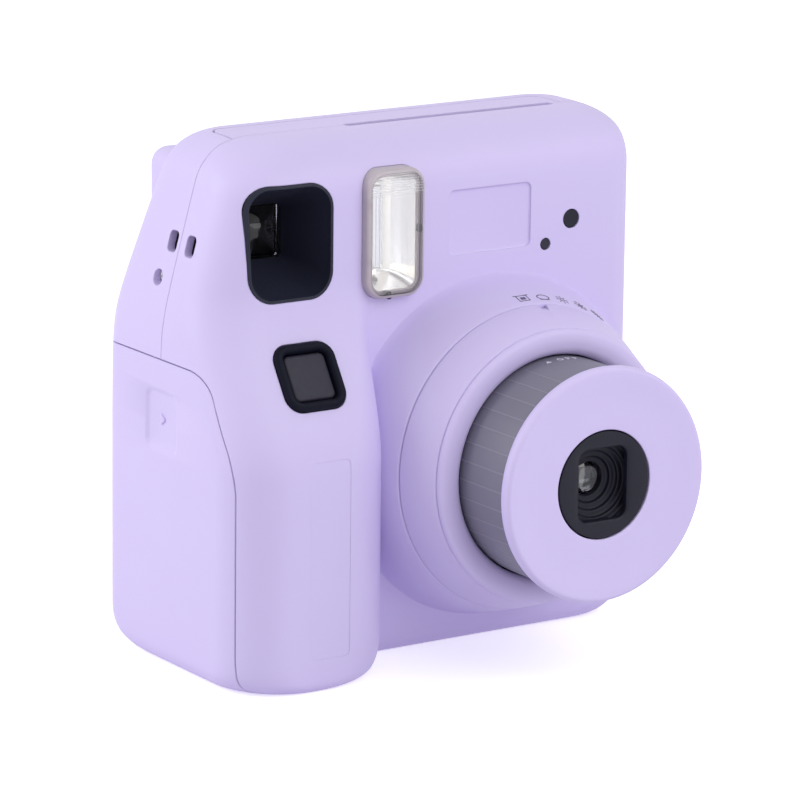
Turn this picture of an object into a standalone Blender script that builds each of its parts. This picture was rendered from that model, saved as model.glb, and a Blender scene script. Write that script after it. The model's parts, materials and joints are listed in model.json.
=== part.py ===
"""Instant camera with a push-pull lens, a hand grip and a top film exit.

Sizes below are millimetres; helpers turn them into metres. The front looks to -Y, +Z is up,
and the origin lies on the base, half-way across the body.
"""

import math

import bmesh
import bpy
from mathutils import Vector

MM = 0.001

# Clearances and walls
GAP = 0.3
WALL = 2.0
THIN = 1.4

# Body
WIDTH = 119.2
HEIGHT = 121.5
FACE_Y = -24.0
PART_Y = -4.9
REAR_Y = 21.2
SIDE_TAPER = 0.285
SIDE_TAPER_Z = HEIGHT - 41.5
REAR_TAPER = 0.2
REAR_TAPER_Z = HEIGHT - 43.5
TAPER_BLEND = 6.0
TOP_RIGHT_R = 9.5
TOP_LEFT_R = 9.0
TOP_FRONT_REACH = 16.0
TOP_FRONT_RISE = 12.0
TOP_REAR_R = 4.5
LOW_RIGHT_R = 9.0
LOW_LEFT_R = 10.0
LOW_FRONT_R = 4.5
LOW_REAR_R = 8.0
REAR_CORNER = 6.0
FRONT_LEFT_CORNER = 13.0
FRONT_RIGHT_CORNER = 7.8
ARC_STEPS = 4

# Hand grip
GRIP_DEPTH = 17.6
GRIP_LOW = 50.0
GRIP_HIGH = 90.0
GRIP_X = -WIDTH / 2 + 40.1
GRIP_FOOT = 3.5
GRIP_CORNER = 12.0
GRIP_FOOT_CORNER = 4.0
GRIP_LOW_R = 10.0

# Lens turret, dial and barrel, radii about the lens axis and places along Y
LENS_Z = 46.85
TURRET_BASE_R = 39.9
TURRET_FOOT = 1.0
TURRET_FRONT_R = 35.9
TURRET_FRONT_Y = -39.0
TURRET_WALL = 2.3
DIAL_FRONT_R = 32.1
DIAL_FRONT_Y = -48.65
DIAL_TURN_MARK = 4.0
LIP_Y = -50.8
LIP_CREST_R = 29.7
GUIDE_WALL = 2.0
GUIDE_REAR_Y = -20.2
GUIDE_FLANGE = 3.0
BARREL_R = 25.7
BARREL_WALL = 2.0
BARREL_FRONT_Y = -66.6
BARREL_REAR_Y = -36.0
DISC_R = 27.4
DISC_RIM_Y = -69.9
DISC_DISH = 1.0
BEZEL_R = 12.4
APERTURE_HALF = (6.65, 8.45)
APERTURE_R = 2.6
GLASS_R = 4.6
BAFFLE_STEPS = 4
BAFFLE_R = 11.5
BAFFLE_LENGTH = 8.6
SHUTTER_PLATE_Y = -57.7
SHUTTER_PLATE = 1.5
BLADE = 0.3
REAR_GLASS_R = 5.5
ROUND_STEPS = 44
SMOOTH_ANGLE = math.radians(32)
INNER_STEPS = 24

# Film width and the gears beside its chamber; the lens sits as far right as these and the turret let it
FILM_WIDTH = 62.0
CHAMBER_WALL = 2.0
GEAR_WIDTH = 2.6
GEAR_CLEAR = 3.15
TURRET_CLEAR = 0.15
DRIVE_REACH = FILM_WIDTH / 2 + CHAMBER_WALL + GAP + GEAR_WIDTH + GEAR_CLEAR + WALL
LENS_X = WIDTH / 2 - max(DRIVE_REACH, TURRET_BASE_R + TURRET_FOOT + TURRET_CLEAR)

# Shutter button
BUTTON_X = -WIDTH / 2 + 22.75
BUTTON_Z = 71.0
BUTTON_HALF = (7.95, 8.1)
BUTTON_R = 4.0
BUTTON_RIM = 2.2
BUTTON_WELL = 5.4
BUTTON_SPRING = 2.6
BUTTON_PROUD = 1.3

# Viewfinder
FINDER_X = -WIDTH / 2 + 23.0
FINDER_LOW_Z = BUTTON_Z + 15.0
FINDER_TOP_Z = HEIGHT - 7.6
FINDER_Z = (FINDER_LOW_Z + FINDER_TOP_Z) / 2
FINDER_HALF = (11.2, (FINDER_TOP_Z - FINDER_LOW_Z) / 2)
FINDER_BACK_HALF = 6.2
FINDER_DEPTH = 15.0
FINDER_R = 5.4
HOOD_WALL = 0.8
HOOD_LIP = 0.3
EYE_LOW_Z = BUTTON_Z + 19.1
EYE_TOP_Z = HEIGHT - 6.0
EYE_Z = (EYE_LOW_Z + EYE_TOP_Z) / 2
EYE_HALF = (9.4, (EYE_TOP_Z - EYE_LOW_Z) / 2)
EYE_Y = 23.5
EYE_BORE_HALF = (EYE_HALF[0] - 3.2, EYE_HALF[1] - 5.3)

# Flash
FLASH_X = GRIP_X + 9.6
FLASH_LOW_Z = LENS_Z + 38.05
FLASH_TOP_Z = HEIGHT - 6.7
FLASH_Z = (FLASH_LOW_Z + FLASH_TOP_Z) / 2
FLASH_HALF = (7.9, (FLASH_TOP_Z - FLASH_LOW_Z) / 2)
FLASH_R = 4.6
FLASH_PROUD = 2.4
FLASH_WALL = 1.5
REFLECTOR_DEPTH = 10.0
TUBE_R = 1.6

# Face details
PLATE_X = LENS_X - 1.35
PLATE_Z = HEIGHT - 21.3
PLATE_HALF = (11.4, 7.6)
PLATE_SINK = 0.5
GRIP_PANEL = (BUTTON_X, 30.7)
GRIP_PANEL_HALF = (5.2, 22.8)
GRIP_PANEL_SINK = 0.35
SENSOR = (LENS_X + 21.55, HEIGHT - 23.6)
SENSOR_R = 2.15
DOT = (LENS_X + 14.35, HEIGHT - 28.9)
DOT_R = 1.3

# Battery bay
COVER_FRONT_Y = -34.9
COVER_KNEE_Z = 52.0
COVER_TOP_Z = 72.2
COVER_TOP_Y = -23.4
COVER_EDGE_X = -WIDTH / 2 + 10.6
COVER_CORNER = 6.0
THUMB = (-5.2, 58.0)
THUMB_HALF = (6.6, 6.9)
THUMB_SINK = 0.8
CELL_R = 7.25
CELL_LENGTH = 50.5
CELL_CLEAR = 3.45
CELL_X = -WIDTH / 2 + WALL + CELL_CLEAR + CELL_R
CELL_Y = (-22.6, -6.9)
SPRING_WIRE = 0.4
SPRING_RISE = 3.2
SPRING_TURN_COUNT = 3

# Strap slots and screws
STRAP_Y = (-9.3, -1.8)
STRAP_Z = HEIGHT - 23.05
STRAP_HALF = (1.9, 2.4)
SCREW_R = 1.7
SIDE_SCREW = (1.0, HEIGHT - 31.6)

# Film chamber, rollers and drive
CHAMBER_LOW_Z = 7.0
CHAMBER_TOP_Z = HEIGHT - 19.5
CHAMBER_FRONT_Y = -7.5
CHAMBER_REAR_Y = 13.0
FRAME_HALF = (23.0, 31.0)
SLOT_LENGTH = 57.7
SLOT_HALF = 1.3
ROLLER_R = 3.15
ROLLER_Z = HEIGHT - 10.5
AXLE_R = 1.2
GEAR_MODULE = 0.55
ROLLER_TEETH = 12
IDLER_TEETH = 22
PINION_TEETH = 9
MOTOR_R = 5.5
MOTOR_LENGTH = 19.0
MOTOR_Y = -14.5
MOTOR_Z = HEIGHT - 25.0

# Film door
DOOR_LEFT_X = LENS_X - FILM_WIDTH / 2 - 0.55
DOOR_RIGHT_X = LENS_X + FILM_WIDTH / 2 + 3.45
DOOR_LOW_Z = 9.0
DOOR_TOP_Z = HEIGHT - 15.5
DOOR_CORNER = 6.0
HINGE_R = 1.6
HINGE_X = DOOR_RIGHT_X + HINGE_R
PIN_R = 0.7
HINGE_BANDS = tuple(REAR_TAPER_Z - down for down in (61.0, 43.0, 21.0, 3.0))
FILM_WINDOW = (LENS_X, REAR_TAPER_Z - 16.0)
FILM_WINDOW_HALF = (4.0, 9.0)
LATCH = (DOOR_LEFT_X + 6.0, REAR_TAPER_Z - 22.0)
LATCH_TRAVEL = 4.0
COUNTER = (DOOR_LEFT_X - 14.0, REAR_TAPER_Z - 18.0)
COUNTER_R = 8.0
COUNTER_WINDOW_HALF = (3.2, 2.4)

# Top cover
COVER_LEFT_X = -WIDTH / 2 + 19.1
COVER_RIGHT_X = WIDTH / 2 - 9.6
COVER_REAR_Y = 5.5

FINISHES = {
    "lilac": ((0.63, 0.55, 0.83), 0.45, 0.0),
    "black": ((0.02, 0.02, 0.03), 0.5, 0.0),
    "grey": ((0.26, 0.26, 0.29), 0.4, 0.0),
    "clear": ((0.93, 0.93, 0.9), 0.05, 0.0),
    "glass": ((0.6, 0.65, 0.7), 0.03, 0.0),
    "steel": ((0.6, 0.6, 0.62), 0.3, 1.0),
    "mirror": ((0.9, 0.89, 0.86), 0.12, 1.0),
    "board": ((0.03, 0.2, 0.08), 0.5, 0.0),
    "gear": ((0.85, 0.84, 0.8), 0.45, 0.0),
    "cell": ((0.1, 0.1, 0.11), 0.35, 0.0),
}


def clear_scene():
    for item in list(bpy.data.objects):
        bpy.data.objects.remove(item, do_unlink=True)


def collection(name):
    made = bpy.data.collections.new(name)
    bpy.context.scene.collection.children.link(made)
    return made


def finish_material(name):
    found = bpy.data.materials.get(name)
    if found:
        return found
    colour, roughness, metallic = FINISHES[name]
    made = bpy.data.materials.new(name)
    made.use_nodes = True
    shader = made.node_tree.nodes["Principled BSDF"]
    shader.inputs["Base Color"].default_value = (*colour, 1.0)
    shader.inputs["Roughness"].default_value = roughness
    shader.inputs["Metallic"].default_value = metallic
    return made


clear_scene()
PARTS = collection("instant_camera")
CUTTERS = collection("cutters")


def place(name, mesh, finish, pivot=(0, 0, 0)):
    """Make the object: a part when it has a finish, otherwise a hidden cutter."""
    item = bpy.data.objects.new(name, mesh)
    item.location = Vector(pivot) * MM
    if finish:
        PARTS.objects.link(item)
        mesh.materials.append(finish_material(finish))
    else:
        CUTTERS.objects.link(item)
        item.hide_render = True
        item.display_type = "WIRE"
    return item


def to_mesh(name, bm, pivot=(0, 0, 0)):
    bmesh.ops.recalc_face_normals(bm, faces=bm.faces[:])
    for vert in bm.verts:
        vert.co = (vert.co - Vector(pivot)) * MM
    mesh = bpy.data.meshes.new(name)
    bm.to_mesh(mesh)
    bm.free()
    mesh.shade_smooth()
    mesh.set_sharp_from_angle(angle=SMOOTH_ANGLE)
    return mesh


def box(name, low, high, finish=None, soften=0.0, pivot=(0, 0, 0)):
    bm = bmesh.new()
    bmesh.ops.create_cube(bm, size=1.0)
    size = Vector(high) - Vector(low)
    middle = (Vector(high) + Vector(low)) / 2
    for vert in bm.verts:
        vert.co = Vector(a * b for a, b in zip(vert.co, size)) + middle
    item = place(name, to_mesh(name, bm, pivot), finish, pivot)
    if soften:
        bevel = item.modifiers.new("rounded edges", "BEVEL")
        bevel.width = soften * MM
        bevel.segments = 2
    return item


def on_axis(axis, a, b, along):
    return {"X": (along, a, b), "Y": (a, along, b), "Z": (a, b, along)}[axis]


def prism(name, outline, axis, start, end, finish=None, pivot=(0, 0, 0)):
    """Extrude a flat outline along a world axis."""
    bm = bmesh.new()
    face = bm.faces.new([bm.verts.new(on_axis(axis, a, b, start)) for a, b in outline])
    grown = bmesh.ops.extrude_face_region(bm, geom=[face])
    step = Vector(on_axis(axis, 0, 0, end - start))
    for vert in (v for v in grown["geom"] if isinstance(v, bmesh.types.BMVert)):
        vert.co += step
    return place(name, to_mesh(name, bm, pivot), finish, pivot)


def loft(name, rings, finish=None, hollow=False, pivot=(0, 0, 0)):
    """Skin matching rings; a hollow one joins its last ring back to its first."""
    bm = bmesh.new()
    rows = [[bm.verts.new(point) for point in ring] for ring in rings]
    pairs = list(zip(rows, rows[1:]))
    if hollow:
        pairs.append((rows[-1], rows[0]))
    for lower, upper in pairs:
        for k in range(len(lower)):
            nxt = (k + 1) % len(lower)
            bm.faces.new((lower[k], lower[nxt], upper[nxt], upper[k]))
    if not hollow:
        bm.faces.new(rows[0])
        bm.faces.new(rows[-1])
    return place(name, to_mesh(name, bm, pivot), finish, pivot)


def turned(name, profile, finish=None, centre=(LENS_X, 0, LENS_Z), axis="Y", steps=ROUND_STEPS):
    """Turn a closed (radius, along) profile about a world axis through the centre."""
    area = sum(r0 * h1 - r1 * h0 for (r0, h0), (r1, h1) in zip(profile, profile[1:] + profile[:1]))
    points = profile if area < 0 else profile[::-1]
    solid = min(r for r, h in points) < 1e-6
    if solid:
        first = next(k for k in range(len(points)) if points[k][0] < 1e-6 and points[k - 1][0] < 1e-6)
        points = points[first:] + points[:first]
    edges = [(k, k + 1) for k in range(len(points) - 1)]
    if not solid:
        edges.append((len(points) - 1, 0))
    mesh = bpy.data.meshes.new(name)
    mesh.from_pydata([(r * MM, 0.0, h * MM) for r, h in points], edges, [])
    item = place(name, mesh, finish, centre)
    item.rotation_euler = {
        "X": (0.0, math.pi / 2, 0.0),
        "Y": (-math.pi / 2, 0.0, 0.0),
        "Z": (0.0, 0.0, 0.0),
    }[axis]
    screw = item.modifiers.new("turn", "SCREW")
    screw.steps = screw.render_steps = steps
    screw.use_merge_vertices = True
    screw.merge_threshold = 0.00001
    return item


def disc(name, radius, low, high, finish=None, centre=(LENS_X, 0, LENS_Z), axis="Y", steps=ROUND_STEPS):
    return turned(name, [(0, high), (radius, high), (radius, low), (0, low)], finish, centre, axis, steps)


def tube(
    name, outer, inner, low, high, finish=None, centre=(LENS_X, 0, LENS_Z), axis="Y", steps=ROUND_STEPS
):
    ring = [(outer, high), (outer, low), (inner, low), (inner, high)]
    return turned(name, ring, finish, centre, axis, steps)


def boolean(item, other, operation):
    step = item.modifiers.new(operation.lower() + " " + other.name, "BOOLEAN")
    step.operation = operation
    step.object = other


def cut(item, *cutters):
    for cutter in cutters:
        boolean(item, cutter, "DIFFERENCE")


def join(item, *others):
    for other in others:
        boolean(item, other, "UNION")


def keep(item, *others):
    for other in others:
        boolean(item, other, "INTERSECT")


def rounded(corners, steps=ARC_STEPS):
    """Points of a polygon whose corners (x, y, reach) are arcs; steps + 1 points each."""
    points = []
    count = len(corners)
    flat = [Vector(corner[:2]) for corner in corners]
    spans = [(flat[(k + 1) % count] - flat[k]).length for k in range(count)]
    fits = []
    for k in range(count):
        wanted = corners[k][2] + corners[(k + 1) % count][2]
        fits.append(min(1.0, 0.94 * spans[k] / wanted) if wanted else 1.0)
    for k in range(count):
        middle = flat[k]
        reach = corners[k][2] * min(fits[k - 1], fits[k])
        before = (flat[k - 1] - middle).normalized()
        after = (flat[(k + 1) % count] - middle).normalized()
        weight = math.sin(math.acos(max(-1.0, min(1.0, before.dot(after)))) / 2)
        for step in range(steps + 1):
            t = step / steps
            a, b, c = (1 - t) ** 2, 2 * weight * t * (1 - t), t * t
            spot = a * (middle + before * reach) + b * middle + c * (middle + after * reach)
            points.append(tuple(spot / (a + b + c)))
    return points


def rounded_box(x, z, half, radius, grow=0.0, steps=ARC_STEPS):
    w, h, r = half[0] + grow, half[1] + grow, max(radius + grow, 0.2)
    return rounded([(x + w, z - h, r), (x + w, z + h, r), (x - w, z + h, r), (x - w, z - h, r)], steps)


def blend_ramp(u):
    """A ramp from 0 that starts softly at u = 0."""
    return (u + math.sqrt(u * u + TAPER_BLEND**2)) / 2


def smooth(u):
    u = max(0.0, min(1.0, u))
    return u * u * (3 - 2 * u)


def drawn_in(depth, reach, rise, wall):
    """How far a rounded end has drawn a side in, at a depth from the end plane."""
    if depth >= rise or rise <= wall or reach <= wall:
        return wall
    u = min(1.0, (rise - depth) / (rise - wall))
    return wall + (reach - wall) * (1 - math.sqrt(1 - u * u))


def grip_depth(z):
    return GRIP_DEPTH * (1 - smooth((z - GRIP_LOW) / (GRIP_HIGH - GRIP_LOW)))


def side_x(z):
    return -WIDTH / 2 + SIDE_TAPER * blend_ramp(z - SIDE_TAPER_Z)


def rear_y(z):
    return REAR_Y - REAR_TAPER * blend_ramp(z - REAR_TAPER_Z)


def body_section(z, wall, steps):
    """Outline of the body at one height, drawn in by a wall."""
    top = HEIGHT - z

    def inset(top_reach, top_rise, low_radius):
        return max(drawn_in(top, top_reach, top_rise, wall), drawn_in(z, low_radius, low_radius, wall))

    right = WIDTH / 2 - inset(TOP_RIGHT_R, TOP_RIGHT_R, LOW_RIGHT_R)
    left = side_x(z) + inset(TOP_LEFT_R, TOP_LEFT_R, LOW_LEFT_R)
    rear = rear_y(z) - inset(TOP_REAR_R, TOP_REAR_R, LOW_REAR_R)
    face = FACE_Y + inset(TOP_FRONT_REACH, TOP_FRONT_RISE, LOW_FRONT_R)
    depth = grip_depth(z)
    share = depth / GRIP_DEPTH
    grip = FACE_Y - depth + inset(TOP_FRONT_REACH, TOP_FRONT_RISE, GRIP_LOW_R)
    flank = GRIP_X - drawn_in(z, GRIP_LOW_R, GRIP_LOW_R, wall)
    corners = [
        (right, rear, REAR_CORNER - wall / 2),
        (left, rear, REAR_CORNER - wall / 2),
        (left, grip, FRONT_LEFT_CORNER - wall / 2),
        (flank, grip, 1.0 + (GRIP_CORNER - 1.0) * share),
        (GRIP_X - wall + GRIP_FOOT, face, 0.6 + (GRIP_FOOT_CORNER - 0.6) * share),
        (right, face, FRONT_RIGHT_CORNER - wall / 2),
    ]
    return [(x, y, z) for x, y in rounded(corners, steps)]


def body_levels(wall, fine):
    """Heights of the sections: close together where the ends round over and the grip swells."""
    low_turns, top_turns, swells = ((0, 30, 60, 90), (0, 30, 60, 90), 5)
    if fine:
        low_turns, top_turns, swells = ((0, 18, 36, 54, 72, 90), (0, 18, 32, 46, 60, 75, 90), 8)
    low_span = max(LOW_RIGHT_R, LOW_LEFT_R, LOW_REAR_R, GRIP_LOW_R)
    top_span = max(TOP_RIGHT_R, TOP_LEFT_R, TOP_FRONT_RISE)
    low = [low_span - (low_span - wall) * math.cos(math.radians(a)) for a in low_turns]
    top = [top_span - (top_span - wall) * math.cos(math.radians(a)) for a in top_turns]
    swell = [GRIP_LOW + (GRIP_HIGH - GRIP_LOW) * k / swells for k in range(swells + 1)]
    shoulder = [(GRIP_HIGH + HEIGHT - top_span) / 2]
    return low + swell + shoulder + [HEIGHT - depth for depth in reversed(top)]


def body_loft(name, wall, fine=False):
    steps = ARC_STEPS if fine else ARC_STEPS // 2
    return loft(name, [body_section(z, wall, steps) for z in body_levels(wall, fine)])


def turret_profile(inset):
    """Turret from inside the body to its front edge, with a soft foot on the face."""
    foot = TURRET_FOOT
    return [
        (0, FACE_Y + 8),
        (TURRET_BASE_R + foot - inset, FACE_Y + 8),
        (TURRET_BASE_R + foot - inset, FACE_Y + 0.5),
        (TURRET_BASE_R + foot * 0.35 - inset, FACE_Y - foot * 0.5),
        (TURRET_BASE_R - inset, FACE_Y - foot * 1.4),
        (TURRET_FRONT_R + (TURRET_BASE_R - TURRET_FRONT_R) * 0.62 - inset, (FACE_Y + TURRET_FRONT_Y) / 2),
        (TURRET_FRONT_R - inset, TURRET_FRONT_Y),
        (0, TURRET_FRONT_Y),
    ]


def cover_outline(grow):
    """Side view of the battery cover, past the base and the rear of the body."""
    beyond = 20.0
    front, top = COVER_FRONT_Y - grow, COVER_TOP_Z + grow
    return rounded(
        [
            (front, -beyond, 0.5),
            (REAR_Y + beyond, -beyond, 0.5),
            (REAR_Y + beyond, top, 0.5),
            (COVER_TOP_Y, top, COVER_CORNER),
            (front, COVER_KNEE_Z, COVER_CORNER),
        ]
    )


def door_outline(grow):
    x, z = (DOOR_LEFT_X + DOOR_RIGHT_X) / 2, (DOOR_LOW_Z + DOOR_TOP_Z) / 2
    half = ((DOOR_RIGHT_X - DOOR_LEFT_X) / 2, (DOOR_TOP_Z - DOOR_LOW_Z) / 2)
    return rounded_box(x, z, half, DOOR_CORNER, grow)


FAR = 90.0
OUTER = body_loft("outer form", 0.0, fine=True)
CAVITY = body_loft("cavity form", WALL)
LINER = body_loft("liner form", WALL + GAP)
COVER_CUT = prism("cover cut", cover_outline(GAP / 2), "X", -FAR, COVER_EDGE_X + GAP / 2)
BEHIND = box("behind the parting", (-FAR, PART_Y - GAP / 2, -10), (FAR, FAR, HEIGHT + 20))
AHEAD = box("ahead of the parting", (-FAR, -FAR, -10), (FAR, PART_Y + GAP / 2, HEIGHT + 20))
TOP_CUT = prism(
    "top cover cut",
    rounded(
        [
            (COVER_LEFT_X - GAP / 2, PART_Y - 20, 0.5),
            (COVER_RIGHT_X + GAP / 2, PART_Y - 20, 0.5),
            (COVER_RIGHT_X + GAP / 2, COVER_REAR_Y + GAP / 2, 3.0),
            (COVER_LEFT_X - GAP / 2, COVER_REAR_Y + GAP / 2, 3.0),
        ]
    ),
    "Z",
    HEIGHT - WALL - 4,
    HEIGHT + 10,
)
SLOT_CUT = box(
    "film slot cut",
    (LENS_X - SLOT_LENGTH / 2, PART_Y - SLOT_HALF, HEIGHT - 12),
    (LENS_X + SLOT_LENGTH / 2, PART_Y + SLOT_HALF, HEIGHT + 10),
)
STRAP_CUTS = [
    prism("strap slot", rounded_box(y, STRAP_Z, STRAP_HALF, 1.2), "X", -FAR, side_x(STRAP_Z) + WALL + 4)
    for y in STRAP_Y
]


def button_frame():
    """Centre and outward direction of the shutter button on the grip's slope."""
    y = FACE_Y - grip_depth(BUTTON_Z)
    step = 0.5
    slope = (grip_depth(BUTTON_Z - step) - grip_depth(BUTTON_Z + step)) / (2 * step)
    out = Vector((0, -1, slope)).normalized()
    return Vector((BUTTON_X, y, BUTTON_Z)), out


def tilted(name, outline, low, high, finish=None):
    """A prism square to the button's slope, from low to high along its outward direction."""
    centre, out = button_frame()
    up = Vector((1, 0, 0)).cross(out) * -1
    if up.z < 0:
        up = -up
    rings = []
    for along in (low, high):
        rings.append([centre + Vector((1, 0, 0)) * a + up * b + out * along for a, b in outline])
    return loft(name, rings, finish, pivot=tuple(centre) if finish else (0, 0, 0))


def button_outline(grow):
    return rounded_box(0, 0, BUTTON_HALF, BUTTON_R, grow)


def front_case():
    case = place("front_case", OUTER.data.copy(), "lilac")
    join(case, turned("turret form", turret_profile(0.0)))
    cut(case, CAVITY)
    hollow = turret_profile(TURRET_WALL)
    hollow[-2:] = [(TURRET_FRONT_R - TURRET_WALL, TURRET_FRONT_Y - 5), (0, TURRET_FRONT_Y - 5)]
    cut(case, turned("turret hollow", hollow), BEHIND, COVER_CUT, SLOT_CUT)
    hood_hole = rounded_box(FINDER_X, FINDER_Z, FINDER_HALF, FINDER_R, GAP)
    cut(case, prism("finder opening", hood_hole, "Y", FACE_Y - 20, FACE_Y + 12))
    flash_hole = rounded_box(FLASH_X, FLASH_Z, FLASH_HALF, FLASH_R, GAP)
    cut(case, prism("flash opening", flash_hole, "Y", FACE_Y - 20, FACE_Y + 6))
    plate = rounded_box(PLATE_X, PLATE_Z, PLATE_HALF, 1.5)
    cut(case, prism("plate recess", plate, "Y", FACE_Y - 5, FACE_Y + PLATE_SINK))
    for label, (x, z), radius in (("sensor hole", SENSOR, SENSOR_R), ("dot hole", DOT, DOT_R)):
        cut(case, disc(label, radius + GAP, FACE_Y - 5, FACE_Y + 5, None, (x, 0, z), "Y", 20))
    cut(case, tilted("button opening", button_outline(GAP), -BUTTON_WELL - 2, 8))
    panel = rounded_box(*GRIP_PANEL, GRIP_PANEL_HALF, 2.0)
    recess = prism("grip recess", panel, "Y", FACE_Y - GRIP_DEPTH - 5, FACE_Y - GRIP_DEPTH + 5)
    cut(recess, body_loft("grip recess floor", GRIP_PANEL_SINK))
    cut(case, recess, *STRAP_CUTS)
    return case


def eyepiece_outline(half, grow):
    return rounded_box(FINDER_X, EYE_Z, half, 4.0, grow)


def screw_seats():
    """Where the case screws go in: point on the skin, axis and direction inwards."""
    side = side_x(SIDE_SCREW[1])
    return [
        ("X", (side, *SIDE_SCREW), 1),
        ("X", (WIDTH / 2, 6.0, HEIGHT / 2), -1),
        ("Z", (GRIP_X - 10.5, 6.0, 0.0), 1),
    ]


SCREW_DEEP = 1.5
SCREW_HEAD = 1.2
SCREW_SHANK = 3.0


def along_axis(axis, spot, inwards, start, end):
    """The low and high place along a screw's axis for a span measured inwards from the skin."""
    base = spot["XYZ".index(axis)]
    return sorted((base + inwards * start, base + inwards * end))


def rear_case():
    case = place("rear_case", OUTER.data.copy(), "lilac")
    bump = prism("eyepiece bump", eyepiece_outline(EYE_HALF, 0.0), "Y", 0.0, EYE_Y)
    soften = bump.modifiers.new("rounded edges", "BEVEL")
    soften.width = 2.5 * MM
    soften.segments = 2
    soften.limit_method = "ANGLE"
    soften.angle_limit = math.radians(50)
    join(case, bump)
    cut(case, CAVITY, AHEAD, COVER_CUT, TOP_CUT, SLOT_CUT)
    cut(
        case,
        prism("eyepiece opening", eyepiece_outline(EYE_BORE_HALF, HOOD_WALL + GAP), "Y", -2.0, EYE_Y + 5),
    )
    cut(case, prism("door opening", door_outline(GAP / 2), "Y", CHAMBER_REAR_Y - 4, FAR))
    relief = disc(
        "hinge relief",
        HINGE_R + GAP + 0.3,
        DOOR_LOW_Z - GAP,
        REAR_TAPER_Z + 8,
        None,
        hinge_centre(),
        "Z",
        20,
    )
    cut(case, relief)
    for low, high in zip(HINGE_BANDS[1::2], HINGE_BANDS[2::2]):
        knuckle = disc("case knuckle", HINGE_R, low + GAP, high - GAP, None, hinge_centre(), "Z", 20)
        web = box(
            "knuckle web",
            (HINGE_X + 0.2, hinge_centre()[1] - 1.0, low + GAP),
            (WIDTH / 2 - WALL - 0.6, hinge_centre()[1] + 0.6, high - GAP),
        )
        join(case, knuckle, web)
    cut(
        case,
        disc("pin bore", PIN_R + GAP, HINGE_BANDS[0] - 4, HINGE_BANDS[-1] + 4, None, hinge_centre(), "Z", 12),
    )
    window = rounded_box(COUNTER[0], COUNTER[1] + COUNTER_R * 0.72, COUNTER_WINDOW_HALF, 1.0, GAP)
    cut(case, prism("counter opening", window, "Y", 15.0, FAR))
    cut(case, *STRAP_CUTS)
    for axis, spot, inwards in screw_seats():
        low, high = along_axis(axis, spot, inwards, WALL - 0.6, WALL + 4.0)
        centre = tuple(0.0 if "XYZ"[k] == axis else spot[k] for k in range(3))
        join(case, disc("screw boss", SCREW_R + 1.5, low, high, None, centre, axis, 16))
        low, high = along_axis(axis, spot, inwards, -4.0, SCREW_DEEP + SCREW_HEAD + GAP)
        cut(case, disc("screw head hole", SCREW_R + GAP, low, high, None, centre, axis, 16))
        low, high = along_axis(axis, spot, inwards, 0.0, WALL + 6.0)
        cut(case, disc("screw shank hole", SCREW_R * 0.5 + GAP, low, high, None, centre, axis, 12))
    return case


def case_screws():
    """Small screws that hold the two case halves together."""
    names = ("left_case_screw", "right_case_screw", "base_case_screw")
    for name, (axis, spot, inwards) in zip(names, screw_seats()):
        centre = tuple(0.0 if "XYZ"[k] == axis else spot[k] for k in range(3))
        low, high = along_axis(axis, spot, inwards, SCREW_DEEP, SCREW_DEEP + SCREW_HEAD)
        tip = along_axis(axis, spot, inwards, SCREW_DEEP, SCREW_DEEP + SCREW_HEAD + SCREW_SHANK)
        shank = SCREW_R * 0.5
        if inwards > 0:
            profile = [
                (0, tip[1]), (shank, tip[1]), (shank, high), (SCREW_R, high), (SCREW_R, low), (0, low)
            ]
        else:
            profile = [
                (0, high), (SCREW_R, high), (SCREW_R, low), (shank, low), (shank, tip[0]), (0, tip[0])
            ]
        turned(name, profile, "steel", centre, axis, 12)


def top_cover():
    cover = place("top_cover", OUTER.data.copy(), "lilac")
    cut(cover, CAVITY, AHEAD, SLOT_CUT)
    outline = rounded(
        [
            (COVER_LEFT_X + GAP / 2, PART_Y - 20, 0.5),
            (COVER_RIGHT_X - GAP / 2, PART_Y - 20, 0.5),
            (COVER_RIGHT_X - GAP / 2, COVER_REAR_Y - GAP / 2, 3.0),
            (COVER_LEFT_X + GAP / 2, COVER_REAR_Y - GAP / 2, 3.0),
        ]
    )
    keep(cover, prism("top cover keep", outline, "Z", HEIGHT - WALL - 4, HEIGHT + 10))
    return cover


def battery_cover():
    cover = place("battery_cover", OUTER.data.copy(), "lilac")
    cut(cover, CAVITY)
    keep(cover, prism("cover keep", cover_outline(-GAP / 2), "X", -FAR, COVER_EDGE_X - GAP / 2))
    recess = rounded_box(*THUMB, THUMB_HALF, 2.5)
    cut(cover, prism("thumb recess", recess, "X", -FAR, -WIDTH / 2 + THUMB_SINK))
    return cover


def mode_dial():
    lap = GAP / 2
    hub = BARREL_R + GAP + GUIDE_WALL + GAP
    dial = turned(
        "mode_dial",
        [
            (TURRET_FRONT_R - 0.1, TURRET_FRONT_Y - lap * 2),
            (DIAL_FRONT_R, DIAL_FRONT_Y),
            (hub, DIAL_FRONT_Y),
            (hub, TURRET_FRONT_Y + 1.0),
            (hub + THIN, TURRET_FRONT_Y + 1.0),
            (hub + THIN, DIAL_FRONT_Y + 2.4),
            (DIAL_FRONT_R - 1.0, DIAL_FRONT_Y + 2.4),
            (TURRET_FRONT_R - TURRET_WALL, TURRET_FRONT_Y - lap * 2),
        ],
        "lilac",
    )
    angle = math.radians(DIAL_TURN_MARK)
    x, z = LENS_X + TURRET_FRONT_R * math.sin(angle), LENS_Z + TURRET_FRONT_R * math.cos(angle)
    cut(
        dial,
        box("pointer notch", (x - 1.6, TURRET_FRONT_Y - 3.4, z - 1.3), (x + 1.6, TURRET_FRONT_Y + 1, z + 3)),
    )
    return dial


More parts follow.
